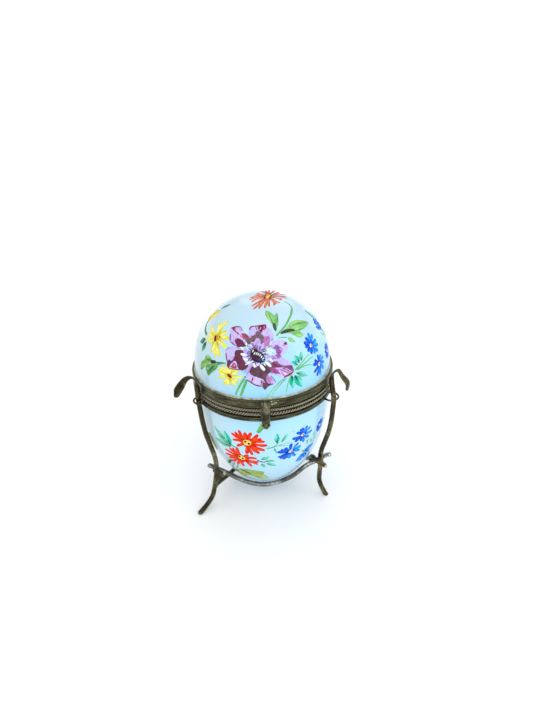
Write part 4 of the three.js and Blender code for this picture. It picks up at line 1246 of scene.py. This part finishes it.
def collar(name, s, seam, body, node):
    """Half of the collar: rolled outer edge, plain band, step down to the groove, inner lip."""
    far = s * COLLAR_EDGE
    groove = seam + s * 2.7
    edge = arc(BAND - 0.36, far - s * 0.36, 0.36, s * 90, 0, 5)
    step = arc(BAND - 0.2, groove + s * 0.2, 0.2, 0, s * -90, 3)
    outline = (
        [[35.05, far - s * 0.12]]
        + edge
        + [[BAND - 0.10, far - s * 0.95], [BAND - 0.02, far - s * 1.7], [BAND, groove + s * 0.6]]
        + step
        + [[35.15, groove], [35.1, seam + s * 0.1], [35.0, seam]]
        + [[32.6, seam], [32.5, seam + s * 0.1], [32.5, seam + s * 0.6], [34.1, seam + s * 0.65]]
        + [[34.12, far - s * 1.0], [35.05, far - s * 0.8]]
    )

    def dented(azimuth, i):
        if not 1 <= i <= 12:
            return 0.0, 0.0
        x = Vector((math.cos(math.radians(azimuth)), math.sin(math.radians(azimuth)), 0.13 * i))
        deep = 0.05 * noise.noise(x * 6) + 0.02 * noise.noise(x * 31)
        return min(deep, 0.0) * 1.4, -s * 0.03 * noise.noise(x * 9 + Vector((5, 0, 0)))

    make(name, turned(outline, COLLAR_SIDES, dented), COLLAR_BRASS, body, [node])


collar("lid_collar", 1, SEAM + 0.15, "lid", "lid_ring")
collar("bowl_collar", -1, SEAM - 0.15, "base", "base_ring")


def cement_ring(name, s, body, node):
    """The pale cement squeezed out along the collar's edge, uneven and chipped."""
    z = s * 5.86
    outline = [
        [34.7, z - s * 0.5], [35.7, z - s * 0.1], [35.4, z + s * 0.2], [35.0, z + s * 0.5],
        [34.7, z + s * 0.55],
    ]

    def uneven(azimuth, i):
        a = math.radians(azimuth)
        x = Vector((math.cos(a) * 7, math.sin(a) * 7, i * 0.2))
        rough = noise.noise(x) + 0.5 * noise.noise(x * 3.1)
        outer = -0.1 * abs(rough) if i in (1, 2, 3) else 0
        return outer, s * 0.22 * rough - s * 0.1 if i in (2, 3, 4) else 0

    make(name, turned(outline, CEMENT_SIDES, uneven), CEMENT, body, [node])


cement_ring("lid_cement_line", 1, "lid", "lid_cement")
cement_ring("bowl_cement_line", -1, "base", "base_cement")

ROPE_R = 35.95
ROPE_GAP = 2.3  # the ropes stop this far either side of the clasp
CLASP_X = 0.6


def rope(name, z, twists, strand, lay, body, node, flat):
    """Two strands twisted together and laid round the collar, open at the clasp."""
    gap_angle = math.degrees(ROPE_GAP / ROPE_R)
    clasp_azimuth = math.degrees(math.asin(CLASP_X / ROPE_R))
    first, last = clasp_azimuth + gap_angle, clasp_azimuth + 360 - gap_angle
    samples = twists * 9
    strands = []
    for offset in (0, math.pi):
        path = []
        for i in range(samples + 1):
            azimuth = first + (last - first) * i / samples
            phase = 2 * math.pi * twists * i / samples + offset
            phase += 0.35 * noise.noise(Vector((azimuth * 0.11, offset, z)))
            p = outward(azimuth) * (ROPE_R + flat * lay * math.cos(phase))
            p[2] = z + lay * math.sin(phase)
            path.append(p)
        strands.append(lofted(np.array(path), lambda t: (strand, strand, 0), sides=8, cap_rings=1))
    make(name, joined(strands), ROPE_BRASS, body, [node], recalculate=False)


rope("lid_rope", 0.3, 96, 0.37, 0.40, "lid", "lid_rope_trim", 0.8)
rope("bowl_rope", -2.0, 76, 0.41, 0.46, "base", "base_rope_trim", 0.9)

# A plain round wire lies in the groove above the lid's rope.
groove_wire = turned(arc(35.55, 1.55, 0.42, 0, 330, 11), COLLAR_SIDES)
make("lid_groove_wire", groove_wire, COLLAR_BRASS, "lid")
RIM = [[31.35, -4.9], [31.95, -4.9], [31.98, 0.9], [31.85, 1.25], [31.5, 1.25], [31.35, 1.05]]
make("locating_rim", turned(RIM, COLLAR_SIDES), COLLAR_BRASS, "base", ["locating_collar"])

# ---- Legs, bows and eyelets -----------------------------------------------------------------

# Centre lines repeat the CAD part's: [radius, z, sideways] in the plane of the leg's azimuth.
LEGS = {
    "leg_left": (
        -58.5,
        [
            [50.3, 3.6, 0], [46.6, 8.0, 0], [43.4, 11.0, 0], [40.9, 11.3, 0.2], [39.1, 9.4, 0.5],
            [38.4, 4.8, 0.7], [38.35, 0.4, 0.7], [38.35, -3.4, 0.7], [37.9, -9, 0.7],
            [37.5, -14, 0.6], [36.8, -19.4, 0.4], [36.0, -24.6, 0.2], [34.7, -30.3, 0.1],
            [33.3, -36.2, 0], [32.1, -42.3, 0], [31.8, -48, 0], [32.3, -53.3, 0], [33.5, -59, 0],
            [34.5, -62.8, 0.2], [36.0, -66.3, 0.6], [39.2, -69.1, 1.4], [43.3, -70.7, 2.7],
            [46.2, -71.8, 3.5],
        ],
    ),
    "leg_right": (
        61.5,
        [
            [46.7, 0.9, 0], [46.7, 4.8, 0], [43.9, 8.1, 0], [41.6, 10.9, 0], [39.7, 9.5, 0],
            [38.5, 5.8, 0], [38.8, 1.4, 0], [39.6, -3.2, 0], [39.9, -7.4, 0], [39.5, -13, 0],
            [39.1, -18, 0], [38.4, -23.3, 0], [37.2, -28.9, 0], [35.5, -34.7, 0], [33.9, -40.5, 0],
            [33.3, -46.2, 0], [33.4, -51.6, 0], [33.0, -57.5, 0], [32.9, -61.4, 0.2],
            [33.6, -65.3, 0.8], [34.5, -68.4, 1.4], [35.6, -70.6, 1.6], [36.7, -72.6, 1.7],
        ],
    ),
    "leg_rear": (
        180,
        [
            [58.4, 0.6, 0], [55.3, 4.6, 0], [51.6, 6.2, 0], [48.3, 5.3, 0], [45.8, 3.2, 0],
            [44.7, 0.2, 0], [44.4, -4.5, 0], [44.1, -9, 0], [43.4, -14, 0], [42.2, -20, 0],
            [40.5, -26, 0], [38.3, -32, 0], [36.0, -38, 0], [34.1, -44, 0], [33.4, -50, 0],
            [33.6, -56, 0], [35.0, -61.5, 0], [37.4, -66, 0], [40.6, -69.2, 0], [43.8, -70.8, 0],
            [46.2, -71.8, 0],
        ],
    ),
}
WIRE = 1.35
BEND = 1.7  # half width of the flattened wire where it bends over
LEAF_THIN = 0.5
# Share of the length hammered flat, half width of the leaf, and the leaf's twist to the front.
LEAVES = {"leg_left": (0.2, 2.1, 42), "leg_right": (0.2, 2.1, -8), "leg_rear": (0.185, 2.1, 0)}
LEG_STEPS = 200
LEAF_REACH = 43.03  # the left leaf stops here


def smoothstep(t, low, high):
    """Eases from 0 at low to 1 at high."""
    x = min(max((t - low) / (high - low), 0), 1)
    return x * x * (3 - 2 * x)


def lerp(a, b, t):
    return a + (b - a) * t


def leg(name, azimuth, line):
    """A bent wire leg whose top is hammered flat into a leaf; the foot is filed flat."""
    out, side = outward(azimuth), sideways(azimuth)
    share, half, twist = LEAVES[name]
    path = np.array([out * r + side * t + np.array([0, 0, z]) for r, z, t in line])
    path = even(spline(path), LEG_STEPS)

    def section(t):
        x = Vector(path[int(t * (LEG_STEPS - 1))])
        flat = 1 - smoothstep(t, share * 0.75, share)
        tip = 1 - min(t / 0.022, 1)
        leaf = lerp(half, BEND, smoothstep(t, 0.05, 0.12))
        wide = lerp(WIRE, leaf, flat) * lerp(0.4, 1, math.sqrt(1 - tip * tip))
        thick = lerp(WIRE, LEAF_THIN, flat)
        worn = 1 - 0.07 * abs(noise.noise(x * 0.35))
        dented = 1 - 0.10 * abs(noise.noise(x * 0.6 + Vector((9, 0, 0))))
        return wide * worn * 0.99, thick * dented, math.radians(twist) * (1 - smoothstep(t, 0.04, 0.13))

    verts, faces = lofted(path, section, side, sides=24)
    for v in verts:
        v[0] = max(v[0], -LEAF_REACH)
        v[2] = max(v[2], FLOOR)
    make(name + "_wire", (verts, faces), WIRE_BRASS, "base", [name])


for name, (azimuth, line) in LEGS.items():
    leg(name, azimuth, line)

BOWS = {
    "bow_front": [
        [-31.7, -13.5, -49.6], [-25.7, -13.7, -53.1], [-20.9, -14.0, -56.0], [-15.0, -14.4, -59.8],
        [-9.6, -14.5, -62.5], [-2.9, -14.5, -64.2], [4.4, -14.5, -63.6], [10.0, -14.7, -61.2],
        [15.6, -15.0, -57.4], [20.1, -14.3, -53.6], [23.9, -13.3, -51.6], [27.2, -12.6, -50.6],
        [30.2, -12.6, -48.4], [32.6, -13.2, -46.5], [35.0, -14.0, -45.2],
    ],
    "bow_rear_left": [
        [-28.1, -14.6, -62.4], [-24.6, -8.9, -63.5], [-20.7, -2.4, -64.9], [-16.4, 5.2, -65.7],
        [-12.4, 11.8, -65.0], [-8.6, 18.6, -61.8], [-5.8, 25.0, -55.9], [-4.2, 30.4, -51.0],
        [-3.2, 36.2, -48.6],
    ],
    "bow_rear_right": [
        [31.2, -19.9, -47.8], [29.3, -20.2, -46.0], [26.9, -19.2, -44.9], [25.4, -14.4, -46.0],
        [24.2, -7.6, -52.6], [20.9, 0.6, -58.9], [15.0, 9.4, -64.4], [10.8, 17.0, -64.6],
        [7.0, 24.0, -60.6], [4.4, 30.2, -57.0], [3.3, 36.0, -55.2],
    ],
}
BOW_WIRE = 1.3
BOW_STEPS = 120

for name, line in BOWS.items():
    path = even(spline(line), BOW_STEPS)

    def bow_section(t, path=path):
        x = Vector(path[int(t * (BOW_STEPS - 1))])
        r = BOW_WIRE * (1 - 0.06 * abs(noise.noise(x * 0.4)))
        return r, r, 0

    # The front bow's silvery brass is a painted reflection; the other bows keep the wire's brass.
    metal = BOW_PAINTED_REFLECTION if name == "bow_front" else WIRE_BRASS
    make(name + "_wire", lofted(path, bow_section, sides=20), metal, "base", [name])

# Each eyelet: azimuth, height, outermost radius, half width, and how far it sits to one side.
EYELETS = {
    "eyelet_left": (-58.5, -2.8, 40.7, 3.2, 1.0),
    "eyelet_right": (61.5, -4.9, 42.1, 3.8, -0.2),
    "eyelet_rear": (180, -4.5, 46.9, 2.9, 0),
}
EYELET_WIRE = 0.5


def eyelet(name, azimuth, z, reach, half, off):
    """A staple of thinner wire soldered to the bowl's collar and looped round the leg."""
    out, side = outward(azimuth), sideways(azimuth)

    def place(r, t):
        return out * r + side * (off + t) + np.array([0, 0, z])

    start = BAND - 0.1
    arms = max(reach - half * 0.9, BAND + 1.7)
    points = [place(start, -half * 0.85)]
    for i in range(9):
        a = -math.pi / 2 + i * math.pi / 8
        points.append(place(arms + (reach - arms) * math.cos(a), half * math.sin(a)))
    points.append(place(start, half * 0.85))

    loop = lofted(even(spline(points), 70), lambda t: (EYELET_WIRE, EYELET_WIRE, 0), sides=14)
    make(name + "_wire", loop, WIRE_BRASS, "base", [name])


for name, values in EYELETS.items():
    eyelet(name, *values)

# ---- Clasp ----------------------------------------------------------------------------------

STRAP_HALF = 2.15
BARREL_Y, BARREL_Z = -37.6, 5.0
CLASP_LEFT, CLASP_RIGHT = CLASP_X - 2.1, CLASP_X + 2.1


def pebble(centre, radii, rows=8, sides=16, ripple=0.0):
    """A closed ellipsoid, a little uneven when ripple is given."""
    verts = []
    for i in range(1, rows):
        a = math.pi * i / rows
        for k in range(sides):
            b = 2 * math.pi * k / sides
            p = Vector((math.sin(a) * math.cos(b), math.sin(a) * math.sin(b), math.cos(a)))
            grow = 1 + ripple * noise.noise(p * 1.7 + Vector(centre))
            verts.append([c + q * r * grow for c, q, r in zip(centre, p, radii)])
    poles = [len(verts), len(verts) + 1]
    verts += [[centre[0], centre[1], centre[2] + s * radii[2]] for s in (1, -1)]
    faces = []
    for i in range(rows - 2):
        for k in range(sides):
            j = (k + 1) % sides
            faces.append([i * sides + k, (i + 1) * sides + k, (i + 1) * sides + j, i * sides + j])
    for k in range(sides):
        j = (k + 1) % sides
        faces.append([poles[0], k, j])
        faces.append([poles[1], (rows - 2) * sides + j, (rows - 2) * sides + k])
    return verts, faces


def rod(x0, x1, y, z, radius, sides=20):
    """A barrel along x with softened ends."""
    path = np.array([[x0 + (x1 - x0) * t, y, z] for t in np.linspace(0.04, 0.96, 6)])
    return lofted(path, lambda t: (radius, radius, 0), sides=sides)


def strap_section(t):
    """Widest and thickest about the middle of the strap."""
    swell = 0.42 + 0.2 * math.sin(math.pi * min(t * 1.15, 1))
    return STRAP_HALF * (0.94 + 0.06 * math.sin(math.pi * t)), swell, 0


ACROSS = np.array([1.0, 0, 0])
STRAP_LINE = [(-37.85, 4.5), (-38.2, 3.3), (-38.5, 1.6), (-38.6, 0.0), (-38.45, -1.2), (-38.1, -2.1)]
TONGUE_LINE = [(-37.75, -2.3), (-37.7, -3.6), (-37.75, -5.0), (-37.8, -6.2)]
strap_path = even(spline([(CLASP_X, y, z) for y, z in STRAP_LINE]), 30)
tongue_path = even(spline([(CLASP_X, y, z) for y, z in TONGUE_LINE]), 14)
clasp_parts = [
    lofted(strap_path, strap_section, ACROSS, sides=28),
    rod(CLASP_LEFT, CLASP_X - 0.95, BARREL_Y, BARREL_Z, 0.86),
    rod(CLASP_X + 0.95, CLASP_RIGHT, BARREL_Y, BARREL_Z, 0.86),
]
for x in (CLASP_LEFT + 0.65, CLASP_RIGHT - 0.65):
    link = np.array([[x, -37.75, z] for z in (5.0, 4.6, 4.2, 3.9)])
    clasp_parts.append(lofted(link, lambda t: (0.6, 0.4, 0), ACROSS, sides=12))
make("clasp_strap", joined(clasp_parts), CLASP_BRASS, "clasp", ["clasp_hasp"])

ornament = [
    lofted(tongue_path, lambda t: (2.0 - 0.15 * t, 0.36, 0), ACROSS, sides=24),
    pebble((CLASP_X, -38.05, -8.0), (1.25, 0.5, 1.15)),
    pebble((CLASP_X, -38.25, -6.55), (0.75, 0.62, 0.75), 10, 20),
]
for s in (-1, 1):
    ornament.append(pebble((CLASP_X + s * 1.15, -37.95, -7.1), (0.98, 0.5, 1.0)))
    ornament.append(pebble((CLASP_X + s * 1.45, -38.0, -5.35), (0.6, 0.42, 0.55)))
    ornament.append(pebble((CLASP_X + s * 0.75, -38.3, -7.9), (0.5, 0.4, 0.5)))
make("clasp_ornament", joined(ornament), CLASP_BRASS, "clasp", ["clasp_thumb"])
# Two dark lumps mark the ornament's dimples: tarnish and painted shade in the hollows.
dimples = [pebble((CLASP_X + s * 1.25, -38.35, -6.6), (0.42, 0.16, 0.5), 6, 12) for s in (-1, 1)]
make("clasp_dimples", joined(dimples), TARNISH_AND_SHADE, "clasp", recalculate=False)

# ---- Hinge and small fittings, the solid's own pieces with softened edges --------------------

FITTINGS = {
    CLASP_BRASS: ["clasp_lug", "catch_stud"],
    WIRE_BRASS: ["clasp_pin", "hinge_pin"],
    COLLAR_BRASS: ["hinge_knuckle_lid_left", "hinge_knuckle_lid_right", "hinge_knuckle_base_left",
                   "hinge_knuckle_base_centre", "hinge_knuckle_base_right"],
}
for node, material in [(node, material) for material, nodes in FITTINGS.items() for node in nodes]:
    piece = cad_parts[node]
    piece.data.materials.clear()
    piece.data.materials.append(material)
    bevel = piece.modifiers.new("soft_edges", "BEVEL")
    bevel.width = 0.12 * MM
    bevel.segments = 2
    bevel.limit_method = "ANGLE"
    bevel.angle_limit = math.radians(40)

# ---- Solder ---------------------------------------------------------------------------------


def web(corners, thick, pinch=0.22, n=12):
    """A thin three-cornered skin of solder drawn in along its edges."""
    a, b, c = (np.array(p, float) for p in corners)
    normal = np.cross(b - a, c - a)
    normal /= np.linalg.norm(normal)
    middle = (a + b + c) / 3
    verts, index = [], {}
    for i in range(n + 1):
        for j in range(n + 1 - i):
            u, v = i / n, j / n
            w = 1 - u - v
            inside = 27 * u * v * w
            edge = 4 * max(u * v, v * w, w * u) * (1 - min(inside, 1))
            p = a * u + b * v + c * w
            p = p + (middle - p) * pinch * edge
            bump = thick * (0.25 + 0.75 * (1 - inside) * max(u, v, w)) * min(1, 6 * min(u, v, w) + 0.15)
            ripple = 0.15 * noise.noise(Vector(p) * 0.7)
            for s in (-1, 1):
                rim = min(u, v, w) < 1e-9
                if rim and s > 0:
                    index[i, j, s] = index[i, j, -1]
                    continue
                index[i, j, s] = len(verts)
                verts.append(list(p + normal * (0 if rim else s * bump + ripple)))
    faces = []
    for s in (-1, 1):
        for i in range(n):
            for j in range(n - i):
                faces.append([index[i, j, s], index[i + 1, j, s], index[i, j + 1, s]])
                if i + j < n - 1:
                    faces.append([index[i + 1, j, s], index[i + 1, j + 1, s], index[i, j + 1, s]])
    return verts, faces


WEB_CORNERS = [(-27.3, -15.6, -49.6), (-28.6, -15.8, -61.6), (-20.4, -14.1, -56.3)]
make("solder_web_left", web(WEB_CORNERS, 0.9), SOLDER, "base")
# Centre and half sizes of each lump of solder.
BLOBS = [
    ((-27.6, -15.2, -51.9), (1.9, 1.9, 1.7)), ((-28.7, -16.2, -61.8), (1.5, 1.8, 1.8)),
    ((29.4, -14.2, -49.2), (2.0, 2.1, 1.7)), ((28.0, -17.9, -45.7), (1.9, 1.6, 1.5)),
    ((25.2, -12.0, -50.2), (1.7, 1.6, 1.3)), ((-1.8, 33.8, -49.6), (2.0, 1.7, 1.6)),
    ((2.2, 33.9, -55.6), (2.0, 1.7, 1.6)),
]
blobs = joined(pebble(centre, radii, ripple=0.3) for centre, radii in BLOBS)
make("solder_joints", blobs, SOLDER, "base")
# Bright tin lumps on the solder joints: painted highlights.
bright = joined([
    pebble((-23.4, -15.0, -54.4), (1.0, 0.7, 1.3), ripple=0.4),
    pebble((-28.9, -18.6, -62.6), (0.6, 0.5, 1.0), ripple=0.4),
    pebble((31.5, -20.6, -47.9), (0.9, 0.9, 0.9), ripple=0.3),
])
make("solder_painted_highlights", bright, TIN_AND_HIGHLIGHT, "base")

# Drips of solder on the lid's band right of the clasp, in bright tin: partly real drips, partly painted
# highlights.
drips = []
placer = random.Random(12)
for _ in range(9):
    x = CLASP_X + placer.uniform(2.7, 6.2)
    z = placer.uniform(2.6, 5.6)
    y = -math.sqrt(BAND**2 - x**2) - 0.02
    radii = (placer.uniform(0.15, 0.5), 0.12, placer.uniform(0.12, 0.3))
    drips.append(pebble((x, y, z), radii, 6, 10, 0.5))
make("collar_drips", joined(drips), TIN_AND_HIGHLIGHT, "lid")

# ---- Camera, light and floor ----------------------------------------------------------------

camera = bpy.data.objects.new("camera", bpy.data.cameras.new("camera"))
bpy.context.scene.collection.objects.link(camera)
bpy.context.scene.camera = camera
camera.data.lens = 27.04
camera.data.sensor_width = 36
EYE = at(0, -243.0, 142.0)
PITCH, YAW, ROLL = math.radians(28.54), math.radians(0.544), math.radians(-2.055)
forward = Vector((math.sin(YAW) * math.cos(PITCH), math.cos(YAW) * math.cos(PITCH), -math.sin(PITCH)))
level = Vector((math.cos(YAW), -math.sin(YAW), 0))
upright = level.cross(forward)
right = math.cos(ROLL) * level + math.sin(ROLL) * upright
above = -math.sin(ROLL) * level + math.cos(ROLL) * upright
turn = Matrix((right, above, -forward)).transposed()
camera.matrix_world = Matrix.LocRotScale(EYE, turn.to_quaternion(), None)
camera.data.clip_start = 0.01

bpy.context.scene.view_settings.view_transform = "Standard"

# The sky is dark about the horizon, for dark edges in the metal, and bright above.
SKY_STOPS = [
    (0.0, (0.16, 0.15, 0.14)), (0.33, (0.24, 0.24, 0.23)), (0.52, (0.76, 0.79, 0.81)),
    (1.0, WHITE),
]
SKY_STRENGTH = 1.17
world = bpy.data.worlds.new("studio")
bpy.context.scene.world = world
world.use_nodes = True
tree = world.node_tree
direction = tree.nodes.new("ShaderNodeTexCoord")
split = tree.nodes.new("ShaderNodeSeparateXYZ")
sky = tree.nodes.new("ShaderNodeValToRGB")
tree.links.new(direction.outputs["Generated"], split.inputs[0])
tree.links.new(split.outputs["Z"], sky.inputs["Fac"])
tree.links.new(sky.outputs["Color"], tree.nodes["Background"].inputs["Color"])
fill_ramp(sky.color_ramp, SKY_STOPS)
tree.nodes["Background"].inputs["Strength"].default_value = SKY_STRENGTH


def softbox(name, place, target, size, power, colour=(1, 1, 1)):
    """An area light aimed at a local point; size in metres, power in watts."""
    data = bpy.data.lights.new(name, "AREA")
    data.shape = "RECTANGLE"
    data.size, data.size_y = size
    data.energy = power
    data.color = colour
    light = bpy.data.objects.new(name, data)
    bpy.context.scene.collection.objects.link(light)
    light.location = at(*place)
    aim = at(*target) - light.location
    light.rotation_mode = "QUATERNION"
    light.rotation_quaternion = aim.to_track_quat("-Z", "Y")


softbox("key", (90, -800, 420), (0, 0, 0), (0.9, 0.7), 2.4)
softbox("window_right", (420, -160, 160), (0, 0, -10), (0.16, 0.34), 0.25, (0.95, 0.98, 1.0))
softbox("rim", (60, 420, 300), (0, 0, 0), (0.35, 0.2), 0.2)
softbox("backdrop", (0, 700, 900), (0, 2400, 100), (2.5, 0.8), 34)

# A pale round sheet, level under the box and sloping gently up far away on every side:
# [radius, height] of its rings in metres.
SWEEP = [(0.4, 0.0), (0.9, 0.0), (1.2, 0.03), (1.5, 0.11), (1.9, 0.27), (2.5, 0.54), (3.7, 1.3)]
SWEEP_SIDES = 72
floor = bpy.data.meshes.new("floor")
sheet_points = [
    (r * math.cos(2 * math.pi * k / SWEEP_SIDES), r * math.sin(2 * math.pi * k / SWEEP_SIDES), z)
    for r, z in SWEEP
    for k in range(SWEEP_SIDES)
]
sheet_faces = [list(range(SWEEP_SIDES))]
for ring in range(len(SWEEP) - 1):
    for k in range(SWEEP_SIDES):
        a, b = ring * SWEEP_SIDES + k, ring * SWEEP_SIDES + (k + 1) % SWEEP_SIDES
        sheet_faces.append([a, a + SWEEP_SIDES, b + SWEEP_SIDES, b])
floor.from_pydata(sheet_points, [], sheet_faces)
floor_piece = bpy.data.objects.new("floor", floor)
bpy.context.scene.collection.objects.link(floor_piece)
floor.polygons.foreach_set("use_smooth", [True] * len(floor.polygons))
paper = Nodes("paper")
tone = paper.ramp(paper.noise(40, 2), [(0.0, (0.95, 0.95, 0.95)), (1.0, (0.97, 0.97, 0.97))])
paper.set(Base_Color=tone, Roughness=0.95)
floor.materials.append(paper.material)
